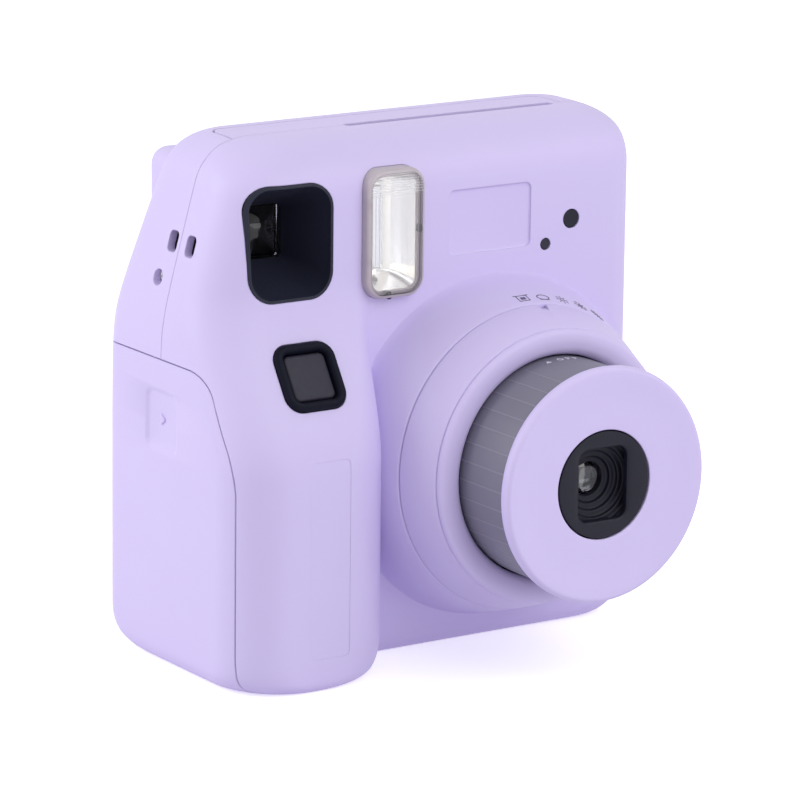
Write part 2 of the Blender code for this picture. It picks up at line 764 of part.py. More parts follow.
def barrel_guide():
    """Fixed tube that the barrel slides in; its rolled front lip holds the dial."""
    bore = BARREL_R + GAP
    outer = bore + GUIDE_WALL
    back = DIAL_FRONT_Y - GAP / 2
    return turned(
        "barrel_guide",
        [
            (DIAL_FRONT_R - 0.1, back),
            (DIAL_FRONT_R - 0.4, back - 0.9),
            (LIP_CREST_R + 1.2, LIP_Y + 0.25),
            (LIP_CREST_R, LIP_Y),
            (LIP_CREST_R - 1.6, LIP_Y + 0.25),
            (bore + 0.8, back - 0.9),
            (bore, back),
            (bore, GUIDE_REAR_Y),
            (outer + GUIDE_FLANGE, GUIDE_REAR_Y),
            (outer + GUIDE_FLANGE, GUIDE_REAR_Y - GUIDE_WALL),
            (outer, GUIDE_REAR_Y - GUIDE_WALL),
            (outer, back),
        ],
        "lilac",
    )


def bezel_front():
    return DISC_RIM_Y + DISC_DISH


def lens_group():
    """Everything that slides with the barrel."""
    tube("lens_barrel", BARREL_R, BARREL_R - BARREL_WALL, BARREL_FRONT_Y, BARREL_REAR_Y, "grey")
    back = BARREL_FRONT_Y - GAP
    face = bezel_front()
    bore = BEZEL_R + GAP
    turned(
        "front_disc",
        [
            (bore, back),
            (bore, face),
            (DISC_R * 0.75, face - 0.15),
            (DISC_R - 2.6, DISC_RIM_Y + 0.3),
            (DISC_R - 1.5, DISC_RIM_Y),
            (DISC_R - 0.5, DISC_RIM_Y + 0.45),
            (DISC_R, DISC_RIM_Y + 1.4),
            (DISC_R - 0.3, back - 0.3),
            (DISC_R - 1.0, back),
        ],
        "lilac",
    )
    bezel = disc("lens_bezel", BEZEL_R, face, back, "black")
    aperture = rounded_box(LENS_X, LENS_Z, APERTURE_HALF, APERTURE_R)
    cut(bezel, prism("lens aperture", aperture, "Y", face - 5, back + 5))
    lens_baffle(back + GAP)
    rear = SHUTTER_PLATE_Y
    plate_r = BARREL_R - BARREL_WALL - GAP
    tube("shutter_plate", plate_r, GLASS_R - 1.0, rear, rear + SHUTTER_PLATE, "black", steps=INNER_STEPS)
    shutter_blade(rear + SHUTTER_PLATE + GAP)
    holder = rear + SHUTTER_PLATE + BLADE + 2 * GAP
    seat = holder + 1.4
    turned(
        "lens_holder",
        [
            (BAFFLE_R, holder),
            (BAFFLE_R, holder + 6.0),
            (REAR_GLASS_R + GAP, holder + 6.0),
            (REAR_GLASS_R + GAP, seat),
            (REAR_GLASS_R - 1.0, seat),
            (REAR_GLASS_R - 1.0, holder),
        ],
        "black",
        steps=INNER_STEPS,
    )
    lens_element("rear_lens", REAR_GLASS_R, seat + GAP, 2.6)
    coil_x = LENS_X - plate_r + 8.0
    box(
        "shutter_coil",
        (coil_x - 3.5, rear + SHUTTER_PLATE + GAP, LENS_Z - 4.5),
        (coil_x + 3.5, rear + SHUTTER_PLATE + 6.0, LENS_Z + 4.5),
        "steel",
        0.6,
    )


def lens_element(name, radius, front, thickness):
    """A glass with both faces bulging."""
    rim = thickness * 0.45
    middle = front + thickness / 2
    arc = 3
    top = [
        (radius * k / arc, middle + rim / 2 + (thickness - rim) / 2 * (1 - (k / arc) ** 2))
        for k in range(arc + 1)
    ]
    low = [(r, 2 * middle - h) for r, h in reversed(top)]
    return turned(name, top + low, "glass", steps=INNER_STEPS)


def lens_baffle(front):
    """Stepped light trap behind the bezel, with the seat of the front glass at its back."""
    mouth = APERTURE_HALF[1] + 1.4
    throat = GLASS_R - 0.7
    back = front + BAFFLE_LENGTH
    seat = back - 2.8
    profile = [(BAFFLE_R, back), (BAFFLE_R, front)]
    for k in range(BAFFLE_STEPS):
        radius = mouth + (throat - mouth) * k / (BAFFLE_STEPS - 1)
        start = front + (seat - 0.6 - front) * k / BAFFLE_STEPS
        profile.append((radius, start))
        profile.append((radius, front + (seat - 0.6 - front) * (k + 1) / BAFFLE_STEPS))
    profile += [(throat, seat), (GLASS_R + GAP, seat), (GLASS_R + GAP, back)]
    turned("lens_baffle", profile, "black", steps=INNER_STEPS)
    lens_element("front_lens", GLASS_R, seat + GAP, 2.2)


def shutter_blade(front):
    """Leaf that swings clear of the light path about a pin beside it."""
    pivot = (LENS_X + 14.5, 0, LENS_Z + 3.0)
    outline = rounded(
        [
            (LENS_X + 16.5, LENS_Z + 0.5, 1.5),
            (LENS_X + 16.5, LENS_Z + 5.5, 1.5),
            (LENS_X + 6.0, LENS_Z + 6.5, 2.0),
            (LENS_X - 5.5, LENS_Z + 5.5, 3.0),
            (LENS_X - 5.5, LENS_Z - 5.5, 3.0),
            (LENS_X + 4.0, LENS_Z - 5.5, 3.0),
        ],
        2,
    )
    prism("shutter_blade", outline, "Y", front, front + BLADE, "black", pivot)


def finder_parts():
    """Black funnel, its tube to the back, the two glasses and the eyepiece frame."""
    front, back = FACE_Y - 6.0, FACE_Y + FINDER_DEPTH
    rear_half = (FINDER_BACK_HALF, FINDER_BACK_HALF)
    outer = [
        rounded_box(FINDER_X, FINDER_Z, FINDER_HALF, FINDER_R),
        rounded_box(FINDER_X, FINDER_Z, FINDER_HALF, FINDER_R),
        rounded_box(FINDER_X, FINDER_Z, rear_half, 1.0, HOOD_WALL),
    ]
    inner = [
        rounded_box(FINDER_X, FINDER_Z, rear_half, 1.0),
        rounded_box(FINDER_X, FINDER_Z, FINDER_HALF, FINDER_R, -HOOD_WALL),
        rounded_box(FINDER_X, FINDER_Z, FINDER_HALF, FINDER_R, -HOOD_WALL),
    ]
    places = [front, FACE_Y + 3.0, back, back, FACE_Y + 1.5, front]
    rings = [[(x, y, z) for x, z in ring] for ring, y in zip(outer + inner, places)]
    hood = loft("finder_hood", rings, "black", hollow=True)
    keep(hood, body_loft("hood skin", -HOOD_LIP, fine=True))

    tube_half = (FINDER_BACK_HALF + GAP, FINDER_BACK_HALF + GAP)
    tube_outer = rounded_box(FINDER_X, FINDER_Z, tube_half, 1.0, HOOD_WALL)
    bezel_front_y = rear_y(EYE_Z + EYE_HALF[1]) - 3.0
    finder_tube = prism("finder_tube", tube_outer, "Y", back + GAP, bezel_front_y - GAP, "black")
    bore = rounded_box(FINDER_X, FINDER_Z, tube_half, 1.0)
    cut(finder_tube, prism("finder tube bore", bore, "Y", back - 5, bezel_front_y + 5))
    glass = rounded_box(FINDER_X, FINDER_Z, rear_half, 0.8)
    prism("finder_objective", glass, "Y", back + GAP * 2, back + GAP * 2 + 2.0, "clear")

    frame = prism(
        "eyepiece_frame",
        eyepiece_outline(EYE_BORE_HALF, HOOD_WALL),
        "Y",
        bezel_front_y,
        EYE_Y - 0.6,
        "black",
    )
    cut(
        frame,
        prism("eyepiece bore", eyepiece_outline(EYE_BORE_HALF, 0.0), "Y", bezel_front_y - 5, EYE_Y + 5),
    )
    prism("eyepiece_lens", eyepiece_outline(EYE_BORE_HALF, -GAP), "Y", EYE_Y - 6.0, EYE_Y - 3.6, "clear")


def flash_parts():
    front = FACE_Y - FLASH_PROUD
    back = FACE_Y + WALL + 1.5
    window = prism(
        "flash_window", rounded_box(FLASH_X, FLASH_Z, FLASH_HALF, FLASH_R), "Y", front, back, "clear"
    )
    inside = rounded_box(FLASH_X, FLASH_Z, FLASH_HALF, FLASH_R, -FLASH_WALL)
    cut(window, prism("flash window hollow", inside, "Y", front + FLASH_WALL, back + 5))
    half = (FLASH_HALF[0] - FLASH_WALL - GAP, FLASH_HALF[1] - FLASH_WALL - GAP)
    mouth, rear = FACE_Y + 0.6, FACE_Y + REFLECTOR_DEPTH
    narrow = (TUBE_R + 1.2, half[1] - 2.6)
    skin = 0.8
    corner = FLASH_R - FLASH_WALL - GAP
    rings = [
        (rounded_box(FLASH_X, FLASH_Z, half, corner), mouth),
        (rounded_box(FLASH_X, FLASH_Z, (half[0] * 0.82, half[1] - 1.0), 2.2), (mouth + rear) / 2),
        (rounded_box(FLASH_X, FLASH_Z, narrow, 1.4), rear),
    ]
    reflector = loft("flash_reflector", [[(x, y, z) for x, z in ring] for ring, y in rings], "mirror")
    hollow = [
        (rounded_box(FLASH_X, FLASH_Z, half, corner, -skin), mouth - 1),
        (rounded_box(FLASH_X, FLASH_Z, (half[0] * 0.82, half[1] - 1.0), 2.2, -skin), (mouth + rear) / 2),
        (rounded_box(FLASH_X, FLASH_Z, narrow, 1.4, -skin), rear - skin),
    ]
    cut(reflector, loft("reflector hollow", [[(x, y, z) for x, z in ring] for ring, y in hollow]))
    reach = narrow[1] - skin - GAP
    tube_y = rear - skin - GAP - TUBE_R
    disc("flash_tube", TUBE_R, FLASH_Z - reach, FLASH_Z + reach, "glass", (FLASH_X, tube_y, 0), "Z", 16)


def face_windows():
    for name, (x, z), radius in (("exposure_window", SENSOR, SENSOR_R), ("sensor_window", DOT, DOT_R)):
        inner = FACE_Y + WALL + GAP
        turned(
            name,
            [
                (0, FACE_Y + 0.1),
                (radius, FACE_Y + 0.1),
                (radius, inner),
                (radius + 1.0, inner),
                (radius + 1.0, inner + 1.0),
                (0, inner + 1.0),
            ],
            "black",
            (x, 0, z),
            "Y",
            20,
        )


def button_parts():
    """Fixed rim with a well behind it, the moving pad, its spring and the switch."""
    rim = tilted("button_rim", button_outline(0.0), -BUTTON_WELL, BUTTON_PROUD, "black")
    soften = rim.modifiers.new("soft rim", "BEVEL")
    soften.width = 1.0 * MM
    soften.segments = 2
    soften.limit_method = "ANGLE"
    soften.angle_limit = math.radians(60)
    cut(rim, tilted("button well", button_outline(-BUTTON_RIM), -BUTTON_WELL + THIN, 8))
    floor = -BUTTON_WELL + THIN
    pad_low = floor + GAP + BUTTON_SPRING
    tilted("shutter_button", button_outline(-BUTTON_RIM - GAP), pad_low, 0.2, "black")
    switch_half = rounded_box(0, 0, (1.6, 1.6), 0.4)
    tilted("release_switch", switch_half, floor + GAP, floor + GAP + 1.0, "steel")
    centre, out = button_frame()
    coil("button_spring", centre + out * (floor + GAP), out, 3.2, BUTTON_SPRING - GAP, 2)


def coil(name, start, direction, radius, rise, turns):
    """Round wire coil standing on a start point."""
    side = direction.orthogonal().normalized()
    other = direction.cross(side)
    count = 9 * turns
    curve = bpy.data.curves.new(name, "CURVE")
    curve.dimensions = "3D"
    curve.bevel_depth = SPRING_WIRE * MM
    curve.bevel_resolution = 0
    curve.use_fill_caps = True
    spline = curve.splines.new("POLY")
    spline.points.add(count)
    for k in range(count + 1):
        angle = 2 * math.pi * turns * k / count
        height = SPRING_WIRE + (rise - 2 * SPRING_WIRE) * k / count
        spot = start + direction * height + (side * math.cos(angle) + other * math.sin(angle)) * radius
        spline.points[k].co = (*(spot * MM), 1.0)
    curve.materials.append(finish_material("steel"))
    item = bpy.data.objects.new(name, curve)
    PARTS.objects.link(item)
    return item


def battery_parts():
    """Open tray, two cells, their coil contacts and the flat contacts."""
    low_y, high_y = CELL_Y[0] - CELL_R - GAP, CELL_Y[1] + CELL_R + GAP
    plate = 0.5
    base = WALL + GAP
    floor = base + THIN
    cell_low = floor + GAP + plate + GAP
    cell_top = cell_low + CELL_LENGTH
    ceiling = cell_top + SPRING_RISE + 2 * GAP + plate
    back_x = CELL_X + CELL_R + GAP
    mouth_x = -WIDTH / 2 + WALL + GAP
    tray = box(
        "battery_tray",
        (mouth_x, low_y - THIN, base),
        (back_x + THIN, high_y + THIN, ceiling + THIN),
        "black",
    )
    keep(tray, LINER)
    cut(tray, box("tray hollow", (mouth_x - 20, low_y, floor), (back_x, high_y, ceiling)))
    for name, y in zip(("front_cell", "rear_cell"), CELL_Y):
        turned(
            name,
            [
                (0, cell_top),
                (2.6, cell_top),
                (2.6, cell_top - 1.4),
                (CELL_R - 0.6, cell_top - 1.4),
                (CELL_R, cell_top - 2.0),
                (CELL_R, cell_low + 0.6),
                (CELL_R - 0.6, cell_low),
                (0, cell_low),
            ],
            "cell",
            (CELL_X, y, 0),
            "Z",
            24,
        )
    half = CELL_R - 1.5
    box(
        "lower_contact",
        (CELL_X - half, CELL_Y[0] - half, floor + GAP),
        (CELL_X + half, CELL_Y[1] + half, floor + GAP + plate),
        "steel",
    )
    for name, y in zip(("front_contact", "rear_contact"), CELL_Y):
        box(
            name,
            (CELL_X - half, y - half, ceiling - GAP - plate),
            (CELL_X + half, y + half, ceiling - GAP),
            "steel",
        )
    for name, y in zip(("front_contact_spring", "rear_contact_spring"), CELL_Y):
        coil(
            name,
            Vector((CELL_X, y, cell_top + GAP)),
            Vector((0, 0, 1)),
            3.4,
            SPRING_RISE - GAP,
            SPRING_TURN_COUNT,
        )
    return back_x + THIN


def electronics(left_x):
    board_y = -15.0
    thick = 1.6
    board_top = HEIGHT - 43.5
    right_x = LENS_X - BARREL_R - GAP - GUIDE_WALL - GUIDE_FLANGE - 1.0
    box("circuit_board", (left_x + GAP, board_y, 8.0), (right_x, board_y + thick, board_top), "board")
    radius, length = 6.0, 36.0
    centre = (left_x + GAP + radius + 0.5, board_y - GAP - radius, 0)
    disc("flash_capacitor", radius, 10.0, 10.0 + length, "cell", centre, "Z", 24)


def strap_pocket():
    side = side_x(STRAP_Z)
    low_y, high_y = STRAP_Y[0] - STRAP_HALF[0], STRAP_Y[1] + STRAP_HALF[0]
    low_z, high_z = STRAP_Z - STRAP_HALF[1], STRAP_Z + STRAP_HALF[1]
    pocket = box(
        "strap_pocket",
        (side - 5, low_y - THIN, low_z - 0.8),
        (side + 8, high_y + THIN, high_z + THIN),
        "black",
    )
    keep(pocket, LINER)
    cut(pocket, box("strap channel", (side - 9, low_y, low_z), (side + 8 - THIN, high_y, high_z)))


def chamber_half():
    return FILM_WIDTH / 2 + CHAMBER_WALL


def film_chamber():
    """Dark frame that holds the film pack, the roller ears and the motor plate."""
    half = chamber_half()
    low, high = LENS_X - half, LENS_X + half
    wall = CHAMBER_WALL
    chamber = box(
        "film_chamber",
        (low, CHAMBER_FRONT_Y, CHAMBER_LOW_Z - wall),
        (high, CHAMBER_REAR_Y, CHAMBER_TOP_Z + wall),
        "black",
    )
    ear_front = PART_Y - 2 * ROLLER_R - 1.8
    ear_rear = PART_Y + 2 * ROLLER_R + 1.8
    ear_low = MOTOR_Z - 2.0
    for x in (low, high - wall):
        join(
            chamber, box("roller ear", (x, ear_front, ear_low), (x + wall, ear_rear, ROLLER_Z + ROLLER_R))
        )
    motor_x = high - wall
    join(
        chamber,
        box(
            "motor plate",
            (motor_x, MOTOR_Y - MOTOR_R - 0.6, MOTOR_Z - MOTOR_R - 0.6),
            (motor_x + wall, ear_front + 0.5, MOTOR_Z + MOTOR_R + 0.6),
        ),
    )
    for x in (low + 4, high - 8):
        join(chamber, box("foot", (x, -3.0, WALL + GAP), (x + 4, 8.0, CHAMBER_LOW_Z - wall + 1)))
    plate = box(
        "counter plate",
        (COUNTER[0] - 5, CHAMBER_REAR_Y - 2.0, COUNTER[1] - 5),
        (low + 1, CHAMBER_REAR_Y, COUNTER[1] + 5),
    )
    stud = disc(
        "counter stud",
        1.5,
        CHAMBER_REAR_Y - 1,
        CHAMBER_REAR_Y + 2.2,
        None,
        (COUNTER[0], 0, COUNTER[1]),
        "Y",
        16,
    )
    join(chamber, plate, stud)
    idler = gear_places()["idler"]
    join(
        chamber,
        disc("idler stud", AXLE_R, high - wall / 2, high + GEAR_WIDTH + GAP, None, (0, *idler), "X", 16),
    )
    pack = box(
        "pack space",
        (low + wall, CHAMBER_FRONT_Y + wall, CHAMBER_LOW_Z),
        (high - wall, CHAMBER_REAR_Y + 10, CHAMBER_TOP_Z),
    )
    frame = box(
        "picture frame",
        (LENS_X - FRAME_HALF[0], CHAMBER_FRONT_Y - 5, LENS_Z - FRAME_HALF[1]),
        (LENS_X + FRAME_HALF[0], CHAMBER_FRONT_Y + 5, LENS_Z + FRAME_HALF[1]),
    )
    exit_slot = box(
        "film exit",
        (LENS_X - SLOT_LENGTH / 2, CHAMBER_FRONT_Y + wall, CHAMBER_TOP_Z - 3),
        (LENS_X + SLOT_LENGTH / 2, PART_Y + SLOT_HALF, CHAMBER_TOP_Z + 10),
    )
    cut(chamber, pack, frame, exit_slot)
    for y in roller_y():
        cut(
            chamber, disc("roller bore", AXLE_R + GAP, low - 5, high + 5, None, (0, y, ROLLER_Z), "X", 16)
        )
    shaft = disc("motor bore", AXLE_R + GAP, motor_x - 5, high + 5, None, (0, MOTOR_Y, MOTOR_Z), "X", 16)
    cut(chamber, shaft)
    return chamber


def light_tunnel():
    """Tapered tunnel from the barrel guide to the picture frame."""
    front, back = GUIDE_REAR_Y + GAP, CHAMBER_FRONT_Y - GAP
    mouth = BARREL_R + GAP - 1.6
    wall = 2.4

    def ring(half, y):
        return [(x, y, z) for x, z in rounded_box(LENS_X, LENS_Z, half, 2.0, steps=2)]

    loft(
        "light_tunnel",
        [
            ring((mouth + wall, mouth + wall), front),
            ring((FRAME_HALF[0] + wall, FRAME_HALF[1] + wall), back),
            ring(FRAME_HALF, back),
            ring((mouth, mouth), front),
        ],
        "black",
        hollow=True,
    )


def roller_y():
    pitch = GEAR_MODULE * ROLLER_TEETH / 2
    return (PART_Y - pitch, PART_Y + pitch)


def gear_places():
    """Centres (y, z) of the gear train, the idler placed to mesh with its two neighbours."""
    front, rear = roller_y()
    pinion = Vector((MOTOR_Y, MOTOR_Z))
    roller = Vector((front, ROLLER_Z))
    near = GEAR_MODULE * (PINION_TEETH + IDLER_TEETH) / 2
    far = GEAR_MODULE * (IDLER_TEETH + ROLLER_TEETH) / 2
    line = roller - pinion
    span = line.length
    along = (near**2 - far**2 + span**2) / (2 * span)
    across = math.sqrt(near**2 - along**2)
    unit = line / span
    idler = pinion + unit * along + Vector((unit.y, -unit.x)) * across
    return {
        "pinion": tuple(pinion),
        "idler": tuple(idler),
        "front": (front, ROLLER_Z),
        "rear": (rear, ROLLER_Z),
    }


def heading(here, there):
    return math.atan2(there[1] - here[1], there[0] - here[0])


def gear_phases():
    """A tooth of each driving gear falls in a gap of the gear it turns."""
    spots = gear_places()
    teeth = {"pinion": PINION_TEETH, "idler": IDLER_TEETH, "front": ROLLER_TEETH, "rear": ROLLER_TEETH}
    phases = {"pinion": heading(spots["pinion"], spots["idler"])}
    for driver, driven in (("pinion", "idler"), ("idler", "front"), ("front", "rear")):
        offset = phases[driver] - heading(spots[driver], spots[driven])
        back = heading(spots[driven], spots[driver])
        phases[driven] = back - offset * teeth[driver] / teeth[driven] + math.pi / teeth[driven]
    return phases


def gear(name, teeth, spot, phase, low_x, high_x, finish=None, pivot=(0, 0, 0)):
    pitch = GEAR_MODULE * teeth / 2
    root, tip = pitch - 1.15 * GEAR_MODULE, pitch + 0.75 * GEAR_MODULE
    step = 2 * math.pi / teeth
    outline = []
    for k in range(teeth):
        for radius, share in ((root, -0.27), (tip, -0.1), (tip, 0.1), (root, 0.27)):
            angle = phase + (k + share) * step
            outline.append((spot[0] + radius * math.cos(angle), spot[1] + radius * math.sin(angle)))
    return prism(name, outline, "X", low_x, high_x, finish, pivot)


def drive_parts():
    """Two film rollers with end gears, the idler, the pinion and the motor."""
    half = chamber_half()
    wall = CHAMBER_WALL
    low, high = LENS_X - half, LENS_X + half
    spots, phases = gear_places(), gear_phases()
    gear_low = high + GAP
    gear_high = gear_low + GEAR_WIDTH
    inner_low, inner_high = low + wall + GAP, high - wall - GAP
    for name, key in (("front_roller", "front"), ("rear_roller", "rear")):
        y, z = spots[key]
        roller = turned(
            name,
            [
                (0, gear_high),
                (AXLE_R, gear_high),
                (AXLE_R, inner_high),
                (ROLLER_R, inner_high),
                (ROLLER_R, inner_low),
                (AXLE_R, inner_low),
                (AXLE_R, low),
                (0, low),
            ],
            "steel",
            (0, y, z),
            "X",
            24,
        )
        join(
            roller, gear(key + " roller gear", ROLLER_TEETH, spots[key], phases[key], gear_low, gear_high)
        )
    y, z = spots["idler"]
    idler = gear(
        "idler_gear", IDLER_TEETH, (y, z), phases["idler"], gear_low, gear_high, "gear", (0, y, z)
    )
    cut(idler, disc("idler bore", AXLE_R + GAP, gear_low - 5, gear_high + 5, None, (0, y, z), "X", 16))
    y, z = spots["pinion"]
    pinion = gear(
        "drive_pinion", PINION_TEETH, (y, z), phases["pinion"], gear_low, gear_high, "gear", (0, y, z)
    )
    motor_high = high - wall - GAP
    join(
        pinion,
        disc("motor shaft", AXLE_R * 0.6, motor_high + GAP, gear_low + 0.5, None, (0, y, z), "X", 12),
    )
    motor = disc(
        "film_motor", MOTOR_R, motor_high - MOTOR_LENGTH, motor_high, "steel", (0, y, z), "X", 24
    )
    return motor


def hinge_centre():
    return (HINGE_X, REAR_Y - HINGE_R + 0.2, 0)


def film_door():
    door = place("film_door", OUTER.data.copy(), "lilac")
    cut(door, CAVITY)
    keep(door, prism("door keep", door_outline(-GAP / 2), "Y", CHAMBER_REAR_Y - 4, FAR))
    x, y, _ = hinge_centre()
    for low, high in zip(HINGE_BANDS[0::2], HINGE_BANDS[1::2]):
        join(door, disc("door knuckle", HINGE_R, low, high, None, hinge_centre(), "Z", 20))
        join(door, box("door web", (DOOR_RIGHT_X - 2, y - 0.4, low), (x - 0.2, y + 1.0, high)))
    cut(
        door,
        disc("door pin bore", PIN_R + GAP, HINGE_BANDS[0] - 4, HINGE_BANDS[-1] + 4, None, hinge_centre(), "Z", 12),
    )
    cut(
        door,
        prism("film window hole", rounded_box(*FILM_WINDOW, FILM_WINDOW_HALF, 1.5, GAP), "Y", 10, FAR),
    )
    neck = (1.6, 2.0)
    slot = rounded_box(
        LATCH[0], LATCH[1] + LATCH_TRAVEL / 2, (neck[0], neck[1] + LATCH_TRAVEL / 2), 0.6, GAP
    )
    cut(door, prism("latch slot", slot, "Y", 10, FAR))
    set_origin(door, (x, y, 0))
    disc(
        "door_hinge_pin", PIN_R, HINGE_BANDS[0] - 2, HINGE_BANDS[-1] + 2, "steel", hinge_centre(), "Z", 12
    )

    skin = REAR_Y
    window = prism(
        "film_window",
        rounded_box(*FILM_WINDOW, FILM_WINDOW_HALF, 1.5),
        "Y",
        skin - WALL,
        skin - 0.2,
        "clear",
    )
    lip = rounded_box(*FILM_WINDOW, FILM_WINDOW_HALF, 1.5, 1.2)
    join(window, prism("film window lip", lip, "Y", skin - WALL - GAP - 1.0, skin - WALL - GAP))
    join(
        window,
        prism("film window core", rounded_box(*FILM_WINDOW, FILM_WINDOW_HALF, 1.5, -0.2), "Y", skin - 3, skin - 1),
    )

    latch = prism(
        "door_latch", rounded_box(*LATCH, (3.6, 6.0), 1.5), "Y", skin + GAP, skin + 1.6, "black"
    )
    neck_shape = rounded_box(*LATCH, neck, 0.5)
    join(latch, prism("latch neck", neck_shape, "Y", skin - WALL - GAP - 1.4, skin + 1.0))
    back = rounded_box(*LATCH, (3.0, 3.0), 0.6)
    join(latch, prism("latch back", back, "Y", skin - WALL - GAP - 1.6, skin - WALL - GAP))

    for name, side in (("left_pack_spring", -1), ("right_pack_spring", 1)):
        pack_spring(name, LENS_X + side * 18.0)


def pack_spring(name, x):
    """Bowed leaf on the inside of the door that presses the pack forward."""
    inside = REAR_Y - WALL - GAP
    bow = inside - CHAMBER_REAR_Y + 1.5
    steps = 8
    low, high = REAR_TAPER_Z - 54.0, REAR_TAPER_Z - 8.0
    thick, half = 0.5, 4.0
    outer, inner = [], []
    for k in range(steps + 1):
        z = low + (high - low) * k / steps
        y = inside - bow * math.sin(math.pi * k / steps)
        outer.append((y, z))
        inner.append((y - thick, z))
    prism(name, outer + inner[::-1], "X", x - half, x + half, "steel")


def set_origin(item, spot):
    """Move an object's origin to its joint axis with its shape left in place."""
    shift = Vector(spot) * MM
    for vert in item.data.vertices:
        vert.co -= shift
    item.location = shift


def counter_parts():
    y = CHAMBER_REAR_Y + GAP
    dial = tube(
        "counter_dial", COUNTER_R, 1.5 + GAP, y, y + 1.2, "gear", (COUNTER[0], 0, COUNTER[1]), "Y", 24
    )
    spot = (COUNTER[0], COUNTER[1] + COUNTER_R * 0.72)
    skin = REAR_Y
    window = prism(
        "counter_window",
        rounded_box(*spot, COUNTER_WINDOW_HALF, 1.0),
        "Y",
        skin - WALL - 1.0,
        skin - 0.2,
        "clear",
    )
    lip = rounded_box(*spot, COUNTER_WINDOW_HALF, 1.0, 1.2)
    join(window, prism("counter window lip", lip, "Y", skin - WALL - GAP - 1.2, skin - WALL - GAP))
    return dial


def build():
    front_case()
    rear_case()
    top_cover()
    case_screws()
    battery_cover()
    mode_dial()
    barrel_guide()
    lens_group()
    finder_parts()
    flash_parts()
    face_windows()
    button_parts()
    electronics(battery_parts())
    strap_pocket()
    film_chamber()
    light_tunnel()
    drive_parts()
    film_door()
    counter_parts()


build()
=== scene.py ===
"""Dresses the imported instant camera: smooth skins, moulded details, materials, light and camera."""

import json
import math

import bmesh
import bpy
from mathutils import Matrix, Vector


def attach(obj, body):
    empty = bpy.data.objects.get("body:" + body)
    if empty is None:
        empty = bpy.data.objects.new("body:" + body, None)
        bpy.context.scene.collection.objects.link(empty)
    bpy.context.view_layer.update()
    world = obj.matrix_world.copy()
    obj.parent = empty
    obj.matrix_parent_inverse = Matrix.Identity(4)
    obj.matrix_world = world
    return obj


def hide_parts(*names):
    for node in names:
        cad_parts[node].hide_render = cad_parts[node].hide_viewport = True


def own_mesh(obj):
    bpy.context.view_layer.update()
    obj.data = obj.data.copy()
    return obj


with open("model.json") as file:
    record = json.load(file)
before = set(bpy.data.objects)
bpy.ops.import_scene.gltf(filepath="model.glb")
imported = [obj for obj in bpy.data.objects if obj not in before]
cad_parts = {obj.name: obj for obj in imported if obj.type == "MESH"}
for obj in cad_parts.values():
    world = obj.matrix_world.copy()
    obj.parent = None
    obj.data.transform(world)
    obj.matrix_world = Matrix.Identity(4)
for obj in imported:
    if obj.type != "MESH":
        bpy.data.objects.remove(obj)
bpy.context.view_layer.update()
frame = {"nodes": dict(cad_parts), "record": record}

MM = 0.001
GAP = 0.3
FIT = 0.15
WALL = 2.0
FAR = 90.0
OVER = 5.0
SHARP_ANGLE = 32.0

# Body, in millimetres
WIDTH = 119.2
HEIGHT = 121.5
FACE_Y = -24.0
PART_Y = -4.9
REAR_Y = 21.2
SIDE_TAPER = 0.285
SIDE_EASE = 0.004
SIDE_TAPER_Z = HEIGHT - 41.5
REAR_TAPER = 0.2
REAR_TAPER_Z = HEIGHT - 43.5
TAPER_BLEND = 6.0
GRIP_DEPTH = 17.6
GRIP_LOW = 50.0
GRIP_HIGH = 90.0
GRIP_X = -WIDTH / 2 + 40.1
GRIP_CORNER = 12.0
GRIP_FOOT = 3.5
GRIP_FOOT_CORNER = 4.0
GRIP_LOW_R = 2.4
GRIP_FLANK_R = 9.0
BASE_ROUND = 10.0
BASE_CORNER = 7.0
GRIP_PANEL = (-WIDTH / 2 + 22.75, 30.7, (5.2, 22.8), 1.2)
GRIP_PANEL_SINK = 0.06
TOP_RIGHT_R = 6.3
TOP_LEFT_R = 9.0
TOP_REAR_R = 4.5
TOP_FRONT_REACH = 16.0
TOP_FRONT_RISE = 12.0
LOW_RIGHT_R = 9.0
LOW_LEFT_R = 5.0
LOW_FRONT_R = 4.5
LOW_REAR_R = 8.0
REAR_CORNER = 6.0
FRONT_LEFT_CORNER = 13.0
FRONT_RIGHT_CORNER = 7.8
SEAM = 0.05
LENS_X = 18.55
LENS_Z = 46.85
COVER_EDGE_X = -WIDTH / 2 + 10.6
COVER_FRONT_Y = -34.9
COVER_TOP_Z = 72.2
COVER_SLANT = (-23.4, 52.0)
COVER_CORNER = 6.0
STRIP_LEFT = -40.5
STRIP_RIGHT = 50.0
STRIP_REAR = 5.5
STRIP_CORNER = 3.0

# Turret and lens
TURRET_BASE_R = 39.9
TURRET_FRONT_R = 35.9
TURRET_FRONT_Y = -39.0
TURRET_WAIST = (TURRET_FRONT_R + 2.48, (FACE_Y + TURRET_FRONT_Y) / 2)
TURRET_SUNK = 8.0
TURRET_WALL = 2.3
DIAL_FRONT_R = 32.1
DIAL_FRONT_Y = -48.65
DIAL_BORE_R = 28.3
DIAL_STEP_R = 29.7
DIAL_STEP = 2.4
DIAL_MARK = 4.0
NOTCH_HALF = (1.7, 0.5)
NOTCH_REACH = 3.4
NOTCH_SINK = 1.1
MARK_FIRST = -0.5
MARK_STEP = 8.7
MARK_Y = -36.2
SLIDE_MARK_TURN = -9.0
SLIDE_MARK_Y = -51.9
LINE_FIRST = 21.5
LINE_COUNT = 34
LINE_HALF = (0.16, 14.6)
LIP_Y = -50.8
LIP_CREST_R = 29.7
GUIDE_R = (26.0, 28.0, 31.0)
GUIDE_REAR_Y = (-22.2, -20.2)
BARREL_R = 25.7
BARREL_WALL = 2.0
BARREL_FRONT_Y = -66.6
BARREL_REAR_Y = -36.0
DISC_R = 27.4
DISC_RIM_Y = -69.9
DISC_DISH = 1.0
